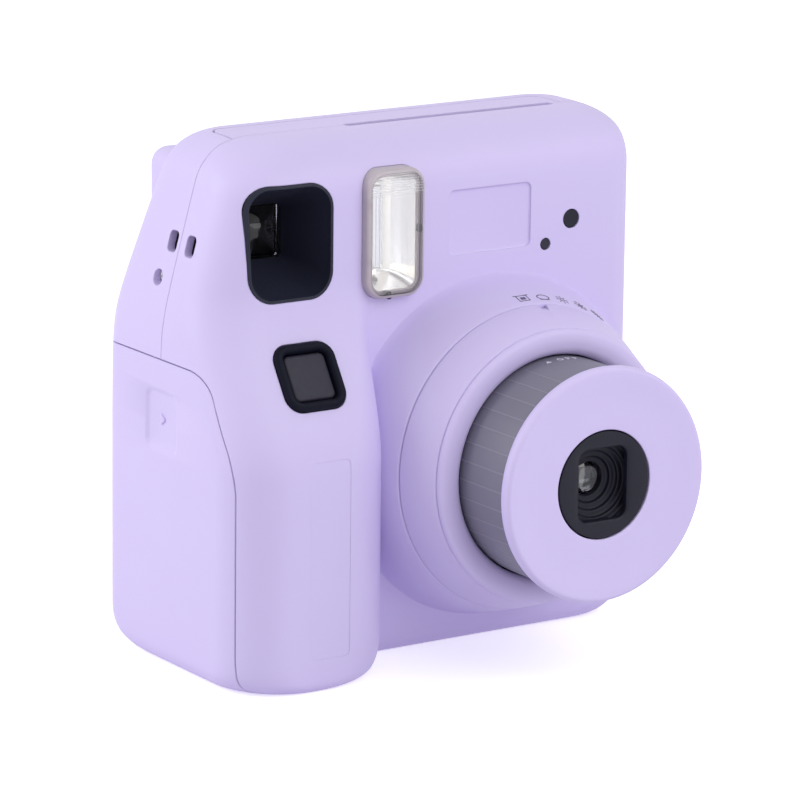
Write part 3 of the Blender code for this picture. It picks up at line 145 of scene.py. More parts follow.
BEZEL_R = 12.4
APERTURE_HALF = (6.65, 8.45)
APERTURE_R = 2.6
BAFFLE_R = 11.5
BAFFLE_DEPTH = 8.6
BAFFLE_SEAT = 2.8
BAFFLE_RINGS = 5
GLASS_R = 4.6
GLASS_THICK = 2.2
REAR_GLASS_R = 5.5
REAR_GLASS_Y = -53.6
REAR_GLASS_THICK = 2.6

# Openings; a rounded box is given by its middle, half sizes and corner radius
FINDER_X = -WIDTH / 2 + 23.0
FINDER_Z = 99.95
FINDER = (FINDER_X, FINDER_Z, (10.95, 13.2), 6.0)
FINDER_BACK = 6.2
FINDER_DEPTH = 15.0
FINDER_DOME = 1.5
HOOD_WALL = 0.8
HOOD_EDGE = 0.25
HOOD_LIP = 0.15
EYE_Z = 102.8
EYE_HALF = (9.4, 12.7)
EYE_BUMP = (FINDER_X, EYE_Z, EYE_HALF, 4.0)
EYE_BORE = (FINDER_X, EYE_Z, (6.2, 7.4), 4.0)
EYE_Y = 23.5
FLASH_X = GRIP_X + 9.6
FLASH_Z = 99.85
FLASH_HALF = (7.9, 14.95)
FLASH = (FLASH_X, FLASH_Z, FLASH_HALF, 4.6)
FLASH_WALL = 0.8
FLASH_EDGE = 1.2
FLASH_PROUD = 2.4
BOWL_DEPTH = 10.0
BOWL_BACK = 2.8
BOWL_WALL = 0.8
CLIP_HALF = (0.5, 0.9)
CLIP_DEPTH = 0.8
RIB_PITCH = 0.62
RIB_ZONE = (8.5, 9.5)
PLATE = (LENS_X - 1.35, HEIGHT - 21.3, (11.4, 7.6), 1.5)
PLATE_SINK = 0.5
SENSOR = (LENS_X + 21.55, HEIGHT - 23.6)
SENSOR_R = 2.15
DOT = (LENS_X + 14.35, HEIGHT - 28.9)
DOT_R = 1.3
BUTTON_X = -WIDTH / 2 + 22.75
BUTTON_Z = 71.0
BUTTON_HALF = (7.95, 8.1)
BUTTON_R = 4.0
BUTTON_RIM = 2.2
BUTTON_WELL = 5.4
BUTTON_FLOOR = -BUTTON_WELL + 1.4
BUTTON_SPRING = 2.6
SPRING_R = 3.2
SPRING_WIRE = 0.4
SPRING_TURNS = 2
THUMB = (-5.2, 58.0, (6.6, 6.9), 2.5)
THUMB_SINK = 0.8
ARROW = ((-1.1, -1.6), (1.3, 0.0), (-1.1, 1.6))
ARROW_SHIFT = (-0.1, 0.3)
STRAP_Y = (-9.3, -1.8)
STRAP_Z = HEIGHT - 23.05
STRAP_HALF = (1.9, 2.4)
STRAP_R = 1.2
SLOT_LENGTH = 57.7
SLOT_HALF = 1.3
DOOR = (-13.0, 53.0, 9.0, 106.0)
DOOR_CORNER = 6.0
DOOR_FRONT_Y = 9.0
HINGE = (54.6, 19.8)
HINGE_R = 1.6
HINGE_RELIEF = 2.2
HINGE_PIN = (15.0, 77.0)
CASE_KNUCKLE = (35.3, 56.7)
DOOR_KNUCKLES = ((17.0, 35.0), (57.0, 75.0))
LATCH = (-7.0, 56.0)
LATCH_NECK = 1.6
FILM_PANE = (LENS_X, 62.0, (4.0, 9.0), 1.5)
COUNTER_PANE = (-27.0, 65.76, (3.2, 2.4), 1.0)
SCREW_R = 1.7
SCREW_DEEP = 1.5
LEFT_SCREW = (1.0, 89.9)
RIGHT_SCREW = (6.0, 60.75)
BASE_SCREW = (-30.0, 6.0)

# Photo camera, in metres and degrees
CAMERA_PLACE = Vector((-0.6, -0.9156, 0.319))
CAMERA_TARGET = Vector((-0.0175, -0.0397, 0.0649))
CAMERA_ROLL = 0.66
CAMERA_LENS = 216.54

# Light: each soft box has its place, target, size in metres and power in watts
ROOM_LIGHT = 0.5
FLOOR_GLOW = 0.5
FLOOR_BOUNCE = (0.5, 0.5, 0.5, 1.0)
FLOOR_LIFT = (0.24, 0.215, 0.31, 1.0)
FLOOR_HALF = 4000.0
SOFT_BOXES = (
    ("key", (-0.85, 0.45, 0.5), (0, -0.02, 0.06), (0.7, 0.7), 6.5),
    ("front", (0.2, -0.55, 0.6), (0, 0, 0.06), (0.8, 0.5), 2.8),
    ("fill", (0.3, -1.0, 0.12), (0.02, -0.03, 0.05), (0.8, 0.2), 1.0),
)

# Surface texture
CLOUD_SCALE = 60.0
SPECK_SCALE = 900.0
UNEVEN_GLOSS = 0.35
GRAIN_HEIGHT = 0.00005
RIB_HEIGHT = 0.00008


class Value:
    """A shader socket that takes part in ordinary arithmetic."""

    def __init__(self, tree, socket):
        self.tree = tree
        self.socket = socket

    def math(self, kind, *others):
        return node(self.tree, "ShaderNodeMath", dict(enumerate((self, *others))), {"operation": kind})

    def __add__(self, other):
        return self.math("ADD", other)

    def __mul__(self, other):
        return self.math("MULTIPLY", other)

    def __sub__(self, other):
        return self.math("SUBTRACT", other)

    def __rsub__(self, other):
        return node(self.tree, "ShaderNodeMath", {0: other, 1: self}, {"operation": "SUBTRACT"})

    def __truediv__(self, other):
        return self.math("DIVIDE", other)

    __radd__ = __add__
    __rmul__ = __mul__


def node(tree, kind, sockets=None, settings=None, output=0):
    """Add any node, with its sockets, given by name or number, and its settings, which are set first."""
    made = tree.nodes.new(kind)
    for key, value in (settings or {}).items():
        setattr(made, key, value)
    for key, value in (sockets or {}).items():
        target = made.inputs[key]
        if isinstance(value, Value):
            tree.links.new(value.socket, target)
        else:
            target.default_value = value
    return Value(tree, made.outputs[output])


def blend(tree, factor, first, second):
    """Mix two colours."""
    made = node(tree, "ShaderNodeMix", {"Factor": factor}, {"data_type": "RGBA"})
    mixer = made.socket.node
    mixer.inputs[6].default_value = first
    mixer.inputs[7].default_value = second
    return Value(tree, mixer.outputs[2])


def noise(tree, scale, detail=2.0):
    spot = node(tree, "ShaderNodeTexCoord", output="Object")
    return node(tree, "ShaderNodeTexNoise", {"Vector": spot, "Scale": scale, "Detail": detail})


def material(name, colour, roughness, grain=0.0, grain_scale=2500.0, mottle=0.04, edge=0.0, **sockets):
    """Moulded plastic, metal or glass: mottled colour, uneven gloss and a fine surface grain."""
    made = bpy.data.materials.new(name)
    made.use_nodes = True
    tree = made.node_tree
    shader = tree.nodes["Principled BSDF"]
    for key, value in sockets.items():
        shader.inputs[key.replace("_", " ")].default_value = value
    cloud = noise(tree, CLOUD_SCALE, 3.0)
    dark = tuple(c * (1 - mottle) for c in colour) + (1.0,)
    light = tuple(min(1.0, c * (1 + mottle)) for c in colour) + (1.0,)
    tree.links.new(blend(tree, cloud, dark, light).socket, shader.inputs["Base Color"])
    speck = noise(tree, SPECK_SCALE)
    gloss = roughness + (speck - 0.5) * (UNEVEN_GLOSS * roughness)
    tree.links.new(gloss.socket, shader.inputs["Roughness"])
    normal = None
    if edge:
        normal = node(tree, "ShaderNodeBevel", {"Radius": edge * MM}, {"samples": 6})
    if grain:
        inputs = {"Height": noise(tree, grain_scale), "Strength": grain, "Distance": GRAIN_HEIGHT}
        if normal:
            inputs["Normal"] = normal
        normal = node(tree, "ShaderNodeBump", inputs)
    if normal:
        tree.links.new(normal.socket, shader.inputs["Normal"])
    return made


def black(name, colour, roughness, grain, edge, shine):
    return material(name, colour, roughness, grain, 1800.0, 0.06, edge, Specular_IOR_Level=shine)


def glass(name, colour, roughness, mottle, bend):
    return material(name, colour, roughness, mottle=mottle, Transmission_Weight=1.0, IOR=bend)


LILAC = material(
    "lilac_shell", (0.645, 0.565, 0.855), 0.5, 0.10, 2600.0, 0.012, 0.35, Specular_IOR_Level=0.35
)
GREY = material("grey_barrel", (0.196, 0.189, 0.244), 0.45, 0.10, 2600.0, 0.03, Specular_IOR_Level=0.4)
# Lighter than the barrel grey: a painted highlight along its raised lines
LINE_HIGHLIGHT = material("barrel_line", (0.250, 0.242, 0.302), 0.45, 0.10, 2600.0, 0.03)
BLACK = black("black_plastic", (0.0100, 0.0098, 0.0205), 0.45, 0.14, 0.25, 0.2)
RIM = black("black_rim", (0.0065, 0.0075, 0.0155), 0.5, 0.14, 0.25, 0.07)
HOOD = black("black_hood", (0.0145, 0.0165, 0.033), 0.55, 0.14, 0.25, 0.25)
PAD = black("black_pad", (0.0195, 0.0183, 0.034), 0.5, 0.16, 0.3, 0.25)
# Near-black painted shade for the inside of hollow solids, in place of their own material
PAINTED_SHADE = material("dark_inside", (0.008, 0.008, 0.011), 0.7, 0.2, 1500.0, 0.1)
CLEAR = glass("clear_plastic", (0.985, 0.97, 0.955), 0.05, 0.004, 1.45)
MILKY = material("milky_plastic", (0.56, 0.50, 0.54), 0.3, mottle=0.02, Alpha=0.85)
TINTED = glass("finder_pane", (0.20, 0.20, 0.26), 0.04, 0.02, 1.4)
LENS = glass("lens_glass", (0.86, 0.88, 0.97), 0.03, 0.01, 1.75)
STEEL = material("steel", (0.58, 0.58, 0.6), 0.32, 0.08, 900.0, 0.05, Metallic=1.0)
MIRROR = material("reflector", (0.98, 0.965, 0.94), 0.22, 0.2, 500.0, 0.02, Metallic=0.92)
SCREW = material("bright_screw", (0.8, 0.79, 0.77), 0.42, 0.08, 900.0, 0.04, Metallic=0.7)
BOARD = material("circuit_board", (0.035, 0.16, 0.07), 0.45, 0.2, 700.0, 0.2)
GEAR = material("gear_plastic", (0.8, 0.79, 0.75), 0.45, 0.1, 1500.0, 0.03, 0.1)
CELL = material("cell_wrap", (0.06, 0.06, 0.07), 0.32, 0.06, 900.0, 0.15)
PRINT = material("dark_print", (0.10, 0.09, 0.15), 0.5, 0.1, 2000.0, 0.05)
PALE = material("pale_print", (0.82, 0.81, 0.84), 0.45, 0.1, 2000.0, 0.03)


def ribbed_clear():
    """Thin clear plastic with fine level prisms, strongest near its top."""
    made = material("ribbed_clear", (0.93, 0.92, 0.91), 0.12, mottle=0.004)
    tree = made.node_tree
    shader = tree.nodes["Principled BSDF"]
    spot = node(tree, "ShaderNodeTexCoord", output="Object")
    height = node(tree, "ShaderNodeSeparateXYZ", {0: spot}, output="Z")
    ribs = (height * (2 * math.pi / (RIB_PITCH * MM))).math("SINE")
    above = height - FLASH_Z * MM
    span = {0: above, 1: RIB_ZONE[0] * MM, 2: RIB_ZONE[1] * MM}
    zone = node(tree, "ShaderNodeMapRange", span, {"interpolation_type": "SMOOTHSTEP"})
    ribs = ribs * (0.15 + zone * 0.85)
    bump = {"Height": ribs, "Strength": 0.6, "Distance": RIB_HEIGHT}
    tree.links.new(node(tree, "ShaderNodeBump", bump).socket, shader.inputs["Normal"])
    tree.links.new((0.12 + ribs * 0.10 + zone * 0.12).socket, shader.inputs["Alpha"])
    return made


RIBBED = ribbed_clear()

SLOTS = {
    "lilac_plastic": LILAC,
    "black_plastic": BLACK,
    "grey_plastic": GREY,
    "clear_plastic": CLEAR,
    "optical_glass": LENS,
    "steel": STEEL,
    "reflector_mirror": MIRROR,
    "board_green": BOARD,
    "gear_white": GEAR,
    "cell_wrap": CELL,
}
# Inner solids whose hollows get near-black painted shade
PAINTED_SHADE_NODES = ("film_chamber", "light_tunnel", "strap_pocket", "lens_holder", "finder_tube")
SLOT_OF = {entry["node"]: entry["material_slot"] for entry in frame["record"]["subparts"]}
BODY_OF = {n: body for body, names in frame["record"]["behaviour"]["bodies"].items() for n in names}


def dress_nodes():
    """Every solid carried over from the frame gets the material of its slot, except the inner hollow ones,
    which get near-black painted shade.
    """
    for name, item in frame["nodes"].items():
        look = PAINTED_SHADE if name in PAINTED_SHADE_NODES else SLOTS[SLOT_OF[name]]
        item.data.materials.clear()
        item.data.materials.append(look)


def shade(mesh, angle):
    mesh.shade_smooth()
    mesh.set_sharp_from_angle(angle=math.radians(angle))


def link(item):
    bpy.context.scene.collection.objects.link(item)
    return item


def form(name, bm, angle=SHARP_ANGLE):
    """A shape used to build a piece, from a bmesh in millimetres."""
    bmesh.ops.recalc_face_normals(bm, faces=bm.faces[:])
    for vert in bm.verts:
        vert.co *= MM
    mesh = bpy.data.meshes.new(name)
    bm.to_mesh(mesh)
    bm.free()
    shade(mesh, angle)
    return link(bpy.data.objects.new(name, mesh))


def settle(item):
    """Turn an object with modifiers into a plain mesh, and drop the shapes that it used."""
    used = [step.object for step in item.modifiers if getattr(step, "object", None)]
    bpy.context.view_layer.update()
    ready = item.evaluated_get(bpy.context.evaluated_depsgraph_get())
    mesh = bpy.data.meshes.new_from_object(ready)
    item.modifiers.clear()
    item.data = mesh
    shade(mesh, SHARP_ANGLE)
    for other in used:
        if other.get("shared") is None:
            bpy.data.objects.remove(other, do_unlink=True)
    return item


def piece(item, look, nodes=(), body=None):
    """Finish a piece: its material, the body that it moves with and the solids that it stands for."""
    item.data.materials.clear()
    item.data.materials.append(look)
    nodes = (nodes,) if isinstance(nodes, str) else nodes
    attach(item, body or BODY_OF[nodes[0]])
    if nodes:
        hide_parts(*nodes)
    return item


def boolean(item, operation, others):
    for other in others:
        step = item.modifiers.new(operation.lower(), "BOOLEAN")
        step.operation = operation
        step.object = other


def cut(item, *others):
    boolean(item, "DIFFERENCE", others)


def join(item, *others):
    boolean(item, "UNION", others)


def keep(item, *others):
    boolean(item, "INTERSECT", others)


def rounded(corners, steps=10):
    """Points of a polygon whose corners (x, y, reach) are arcs; steps + 1 points each."""
    points = []
    count = len(corners)
    flat = [Vector(corner[:2]) for corner in corners]
    spans = [(flat[(k + 1) % count] - flat[k]).length for k in range(count)]
    fits = []
    for k in range(count):
        wanted = corners[k][2] + corners[(k + 1) % count][2]
        fits.append(min(1.0, 0.94 * spans[k] / wanted) if wanted else 1.0)
    for k in range(count):
        middle = flat[k]
        reach = corners[k][2] * min(fits[k - 1], fits[k])
        before = (flat[k - 1] - middle).normalized()
        after = (flat[(k + 1) % count] - middle).normalized()
        weight = math.sin(math.acos(max(-1.0, min(1.0, before.dot(after)))) / 2)
        for step in range(steps + 1):
            t = step / steps
            a, b, c = (1 - t) ** 2, 2 * weight * t * (1 - t), t * t
            spot = a * (middle + before * reach) + b * middle + c * (middle + after * reach)
            points.append(tuple(spot / (a + b + c)))
    return points


def rounded_box(x, z, half, radius, grow=0.0, steps=8):
    w, h, r = half[0] + grow, half[1] + grow, max(radius + grow, 0.15)
    return rounded([(x + w, z - h, r), (x + w, z + h, r), (x - w, z + h, r), (x - w, z - h, r)], steps)


def outline_of(*box):
    """The outline shape(grow) of a rounded box."""
    return lambda grow: rounded_box(*box, grow)


def circle(radius, count=28, wide=1.0):
    turns = [2 * math.pi * k / count for k in range(count)]
    return [(wide * radius * math.cos(t), radius * math.sin(t)) for t in turns]


def on_axis(axis, a, b, along):
    return {"X": (along, a, b), "Y": (a, along, b), "Z": (a, b, along)}[axis]


def along_y(a, b, along):
    return (a, along, b)


def stack(shape, rows, place=along_y):
    """Rings of the outline shape(grow), one for each row of (grow, level)."""
    return [[place(a, b, level) for a, b in shape(grow)] for grow, level in rows]


def skin(rings, hollow=False, bm=None):
    """A surface through matching rings, capped or joined round, alone or added to a bmesh."""
    if bm is None:
        bm = bmesh.new()
    rows = [[bm.verts.new(point) for point in ring] for ring in rings]
    pairs = list(zip(rows, rows[1:]))
    if hollow:
        pairs.append((rows[-1], rows[0]))
    for lower, upper in pairs:
        for k in range(len(lower)):
            nxt = (k + 1) % len(lower)
            bm.faces.new((lower[k], lower[nxt], upper[nxt], upper[k]))
    if not hollow:
        bm.faces.new(rows[0])
        bm.faces.new(rows[-1])
    return bm


def prism(name, outline, axis, start, end):
    return form(name, skin([[on_axis(axis, a, b, along) for a, b in outline] for along in (start, end)]))


def box(name, low, high):
    outline = [(low[0], low[1]), (high[0], low[1]), (high[0], high[1]), (low[0], high[1])]
    return prism(name, outline, "Z", low[2], high[2])


def lathe(profile, centre=(LENS_X, LENS_Z), steps=192, soft=3):
    """Turn a closed profile of (radius, y, corner reach) about an axis along Y."""
    outline = rounded(profile, soft) if soft else [corner[:2] for corner in profile]
    rings = []
    for k in range(steps):
        angle = 2 * math.pi * k / steps
        s, c = math.sin(angle), math.cos(angle)
        rings.append([(centre[0] + r * s, y, centre[1] + r * c) for r, y in outline])
    bm = skin(rings, hollow=True)
    bmesh.ops.remove_doubles(bm, verts=bm.verts[:], dist=0.0005)
    return bm


def pillow(shape, low, high, edge_low, edge_high, place=along_y, steps=4):
    """A slab of the outline shape(grow): its high rim is rounded and its low face is slightly sunk."""
    turns = [math.pi / 2 * k / steps for k in range(steps + 1)]
    sunk = [edge_low * (1 - math.sin(turn)) for turn in turns]
    rows = [(-depth, low + depth) for depth in sunk]
    for turn in turns:
        rows.append((-edge_high * (1 - math.cos(turn)), high - edge_high * (1 - math.sin(turn))))
    return skin(stack(shape, rows, place))


def blend_ramp(u):
    return (u + math.sqrt(u * u + TAPER_BLEND**2)) / 2


def smooth(u):
    u = max(0.0, min(1.0, u))
    return u * u * (3 - 2 * u)


def drawn_in(depth, reach, rise, wall):
    """How far a wall's skin lies inside the full outline at a depth below a rounded edge."""
    if depth >= rise or rise <= wall or reach <= wall:
        return wall
    u = min(1.0, (rise - depth) / (rise - wall))
    return wall + (reach - wall) * (1 - math.sqrt(1 - u * u))


def grip_depth(z):
    return GRIP_DEPTH * (1 - smooth((z - GRIP_LOW) / (GRIP_HIGH - GRIP_LOW)))


def side_x(z):
    return -WIDTH / 2 + SIDE_EASE + SIDE_TAPER * blend_ramp(z - SIDE_TAPER_Z)


def rear_y(z):
    return REAR_Y - REAR_TAPER * blend_ramp(z - REAR_TAPER_Z)


def body_section(z, wall):
    """The body's outline at a height, as a ring of points."""
    top = HEIGHT - z

    def inset(top_reach, top_rise, low):
        return max(drawn_in(top, top_reach, top_rise, wall), drawn_in(z, low, low, wall))

    right = WIDTH / 2 - inset(TOP_RIGHT_R, TOP_RIGHT_R, LOW_RIGHT_R)
    left = side_x(z) + inset(TOP_LEFT_R, TOP_LEFT_R, LOW_LEFT_R)
    rear = rear_y(z) - inset(TOP_REAR_R, TOP_REAR_R, LOW_REAR_R)
    face = FACE_Y + inset(TOP_FRONT_REACH, TOP_FRONT_RISE, LOW_FRONT_R)
    depth = grip_depth(z)
    share = depth / GRIP_DEPTH
    grip = FACE_Y - depth + inset(TOP_FRONT_REACH, TOP_FRONT_RISE, GRIP_LOW_R)
    flank = GRIP_X - drawn_in(z, GRIP_FLANK_R, GRIP_FLANK_R, wall)
    softer = BASE_CORNER * max(0.0, 1 - z / BASE_ROUND) ** 2
    corners = [
        (right, rear, REAR_CORNER - wall / 2),
        (left, rear, REAR_CORNER + softer - wall / 2),
        (left, grip, FRONT_LEFT_CORNER + softer / 2 - wall / 2),
        (flank, grip, 1.0 + (GRIP_CORNER - 1.0) * share),
        (GRIP_X - wall + GRIP_FOOT, face, 0.6 + (GRIP_FOOT_CORNER - 0.6) * share),
        (right, face, FRONT_RIGHT_CORNER - wall / 2),
    ]
    return [(x, y, z) for x, y in rounded(corners)]


def body_levels(wall):
    """Heights of the body's sections, close together where its edges curve."""
    low_span, top_span = BASE_ROUND, TOP_FRONT_RISE
    low = [low_span - (low_span - wall) * math.cos(math.radians(7.5 * k)) for k in range(13)]
    top = [top_span - (top_span - wall) * math.cos(math.radians(6.0 * k)) for k in range(16)]
    swell = [GRIP_LOW + (GRIP_HIGH - GRIP_LOW) * k / 24 for k in range(25)]
    middle = [low_span + (GRIP_LOW - low_span) * k / 6 for k in range(1, 6)]
    shoulder = [GRIP_HIGH + (HEIGHT - top_span - GRIP_HIGH) * k / 6 for k in range(1, 6)]
    return low + middle + swell + shoulder + [HEIGHT - depth for depth in reversed(top)]


def body_form(name, wall):
    return form(name, skin([body_section(z, wall) for z in body_levels(wall)]), 40)


def turret_form(name, inset, front):
    """The conical turret, inset by a wall and cut off at its front."""
    profile = [
        (0.0, FACE_Y + TURRET_SUNK, 0.0),
        (TURRET_BASE_R + 1.0 - inset, FACE_Y + TURRET_SUNK, 0.2),
        (TURRET_BASE_R + 1.0 - inset, FACE_Y + 0.5, 0.4),
        (TURRET_BASE_R + 0.2 - inset, FACE_Y - 0.9, 1.2),
        (TURRET_WAIST[0] - inset, TURRET_WAIST[1], 4.0),
        (TURRET_FRONT_R - inset, front, 0.35),
        (0.0, front, 0.0),
    ]
    return form(name, lathe(profile, soft=6))


def cover_outline(grow):
    front, top, far = COVER_FRONT_Y - grow, COVER_TOP_Z + grow, 20
    corners = [(front, -far, 0.5), (REAR_Y + far, -far, 0.5), (REAR_Y + far, top, 0.5)]
    return rounded(corners + [(COVER_SLANT[0], top, COVER_CORNER), (front, COVER_SLANT[1], COVER_CORNER)])


def door_outline(grow):
    left, right, low, top = DOOR
    half = ((right - left) / 2, (top - low) / 2)
    return rounded_box((left + right) / 2, (low + top) / 2, half, DOOR_CORNER, grow)


def strip_outline(grow):
    left, right, rear, front = STRIP_LEFT - grow, STRIP_RIGHT + grow, STRIP_REAR + grow, PART_Y - 20
    ends = [(right, rear, STRIP_CORNER), (left, rear, STRIP_CORNER)]
    return rounded([(left, front, 0.5), (right, front, 0.5), *ends])


def knuckle_form(low, high):
    return prism("knuckle", rounded_box(*HINGE, (HINGE_R, HINGE_R), HINGE_R - 0.01, 0, 6), "Z", low, high)


def hinge_web(left, right, front, rear, low, high):
    """A flat web beside the hinge, given by its reach in front of and behind the pin."""
    return box("web", (left, HINGE[1] - front, low), (right, HINGE[1] + rear, high))


def button_place(a, b, along):
    """A point on the button's own tilted axes."""
    y = FACE_Y - grip_depth(BUTTON_Z)
    slope = grip_depth(BUTTON_Z - 0.5) - grip_depth(BUTTON_Z + 0.5)
    out = Vector((0, -1, slope)).normalized()
    up = Vector((0, out.z, -out.y))
    return Vector((BUTTON_X, y, BUTTON_Z)) + Vector((1, 0, 0)) * a + up * b + out * along


button_outline = outline_of(0, 0, BUTTON_HALF, BUTTON_R)


def screw_seats():
    """Each case screw's axis, its place across that axis, the skin there and the way inwards."""
    return {
        "left": ("X", *LEFT_SCREW, side_x(LEFT_SCREW[1]), 1),
        "right": ("X", *RIGHT_SCREW, WIDTH / 2, -1),
        "base": ("Z", *BASE_SCREW, 0.0, 1),
    }


def case_screws():
    """Steel screws with a low crown and a cross recess, deep in their holes."""
    shank = SCREW_R * 0.5
    body = [(shank, 4.2), (shank, 1.2), (SCREW_R, 1.2), (SCREW_R, 0.35)]
    crown = [(1.55, 0.12), (1.2, -0.1), (0.7, -0.24), (0.3, -0.28)]
    for key, (axis, a, b, start, inwards) in screw_seats().items():
        rings = []
        for radius, deep in body + crown:
            along = start + inwards * (SCREW_DEEP + deep)
            rings.append([on_axis(axis, a + u, b + v, along) for u, v in circle(radius, 32)])
        head = form(key + "_screw", skin(rings))
        ends = sorted((start + inwards * (SCREW_DEEP + 0.4), start))
        for half in ((0.95, 0.2), (0.2, 0.95)):
            cut(head, prism("cross", rounded_box(a, b, half, 0.1), axis, *ends))
        piece(settle(head), SCREW, key + "_case_screw")


def shared_forms():
    """The body's outer and inner form, and the cuts that several shells share."""
    slot = rounded_box(LENS_X, PART_Y, (SLOT_LENGTH / 2, SLOT_HALF), 0.9)
    forms = {
        "outer": body_form("outer form", 0.0),
        "cavity": body_form("cavity form", WALL),
        "cover": prism("cover cut", cover_outline(GAP / 2), "X", -FAR, COVER_EDGE_X + GAP / 2),
        "behind": box("behind form", (-FAR, PART_Y - SEAM, -10), (FAR, FAR, HEIGHT + 20)),
        "ahead": box("ahead form", (-FAR, -FAR, -10), (FAR, PART_Y + SEAM, HEIGHT + 20)),
        "slot": prism("slot form", slot, "Z", HEIGHT - 12, HEIGHT + 10),
    }
    for y in STRAP_Y:
        outline = rounded_box(y, STRAP_Z, STRAP_HALF, STRAP_R)
        forms["strap%s" % y] = prism("strap form", outline, "X", -FAR, side_x(STRAP_Z) + WALL + 4)
    for item in forms.values():
        item["shared"] = 1
    return forms


def strap_forms(forms):
    return [item for key, item in forms.items() if key.startswith("strap")]


def body_copy(forms, name):
    """A copy of the outer form, to be cut into one shell."""
    item = forms["outer"].copy()
    item.name = name
    item.data = item.data.copy()
    return link(item)


def front_shell(forms):
    front = body_copy(forms, "front_shell")
    join(front, turret_form("turret form", 0.0, TURRET_FRONT_Y))
    cut(front, forms["cavity"])
    cut(front, turret_form("turret hollow", TURRET_WALL, TURRET_FRONT_Y - OVER))
    cut(front, forms["behind"], forms["cover"], forms["slot"], *strap_forms(forms))
    hood = rounded_box(*FINDER, SEAM)
    flash = rounded_box(*FLASH, SEAM)
    cut(front, prism("finder hole", hood, "Y", FACE_Y - 20, FACE_Y + 12))
    cut(front, prism("flash hole", flash, "Y", FACE_Y - 20, FACE_Y + 6))
    recess = pillow(outline_of(*PLATE), FACE_Y - OVER, FACE_Y + PLATE_SINK, 0.1, PLATE_SINK)
    cut(front, form("plate recess", recess))
    panel = prism("grip panel", rounded_box(*GRIP_PANEL), "Y", -FAR, FACE_Y)
    cut(panel, body_form("panel floor", GRIP_PANEL_SINK))
    cut(front, settle(panel))
    low, high = FACE_Y - OVER, FACE_Y + OVER
    for spot, radius in ((SENSOR, SENSOR_R + FIT), (DOT, DOT_R + FIT)):
        ring = [(0.0, low, 0), (radius, low, 0), (radius, high, 0), (0.0, high, 0)]
        cut(front, form("window hole", lathe(ring, spot, 64, 0)))
    well = stack(button_outline, ((FIT, -BUTTON_WELL - 2), (FIT, 8)), button_place)
    cut(front, form("button hole", skin(well)))
    piece(settle(front), LILAC, "front_case")


def rear_shell(forms):
    rear = body_copy(forms, "rear_shell")
    join(rear, form("eye bump", pillow(outline_of(*EYE_BUMP), 0.0, EYE_Y, 0.2, 2.5, steps=6)))
    cut(rear, forms["cavity"], forms["ahead"], forms["cover"], forms["slot"])
    cut(rear, *strap_forms(forms))
    cut(rear, prism("top cut", strip_outline(GAP / 2), "Z", HEIGHT - 6, HEIGHT + 10))
    cut(rear, prism("eye hole", rounded_box(*EYE_BORE, HOOD_WALL + FIT), "Y", -2.0, EYE_Y + OVER))
    cut(rear, prism("door hole", door_outline(GAP / 2), "Y", DOOR_FRONT_Y, FAR))
    relief = rounded_box(*HINGE, (HINGE_RELIEF, HINGE_RELIEF), 1.2, 0, 4)
    cut(rear, prism("hinge relief", relief, "Z", HINGE_PIN[0] - GAP, HINGE_PIN[1] + GAP))
    cut(rear, prism("counter hole", rounded_box(*COUNTER_PANE, FIT), "Y", 15, FAR))
    for axis, a, b, start, inwards in screw_seats().values():
        reach = SCREW_R + FIT
        outline = rounded_box(a, b, (reach, reach), SCREW_R + 0.14)
        ends = sorted((start - 5.0 * inwards, start + 6.0 * inwards))
        cut(rear, prism("screw hole", outline, axis, *ends))
    web = hinge_web(HINGE[0], 57.0, 1.0, 0.6, *CASE_KNUCKLE)
    join(rear, knuckle_form(*CASE_KNUCKLE), web)
    piece(settle(rear), LILAC, "rear_case")


def top_strip(forms):
    top = body_copy(forms, "top_strip")
    cut(top, forms["cavity"], forms["ahead"], forms["slot"])
    keep(top, prism("top keep", strip_outline(-GAP / 2), "Z", HEIGHT - 6, HEIGHT + 10))
    piece(settle(top), LILAC, "top_cover")


def side_cover(forms):
    """The battery cover, with a thumb recess that slopes down from its edges."""
    side = body_copy(forms, "side_cover")
    cut(side, forms["cavity"])
    keep(side, prism("cover keep", cover_outline(-GAP / 2), "X", -FAR, COVER_EDGE_X - GAP / 2))

    def on_side(a, b, sink):
        return (-WIDTH / 2 + sink, a, b)

    slopes = ((1.0, -OVER), (1.0, 0.0), (0.5, 0.12), (0.0, 0.4), (-0.5, 0.68), (-1.0, THUMB_SINK))
    cut(side, form("thumb recess", skin(stack(outline_of(*THUMB), slopes, on_side))))
    piece(settle(side), LILAC, "battery_cover")


def back_door(forms):
    door = body_copy(forms, "back_door")
    cut(door, forms["cavity"])
    keep(door, prism("door keep", door_outline(-GAP / 2), "Y", DOOR_FRONT_Y, FAR))
    for low, high in DOOR_KNUCKLES:
        join(door, knuckle_form(low, high), hinge_web(51.0, HINGE[0], 0.4, 1.0, low, high))
    cut(door, prism("film hole", rounded_box(*FILM_PANE, FIT), "Y", 10, FAR))
    slot = rounded_box(LATCH[0], LATCH[1] + 2.0, (LATCH_NECK, 4.0), 0.6, GAP)
    cut(door, prism("latch hole", slot, "Y", 10, FAR))
    piece(settle(door), LILAC, "film_door")


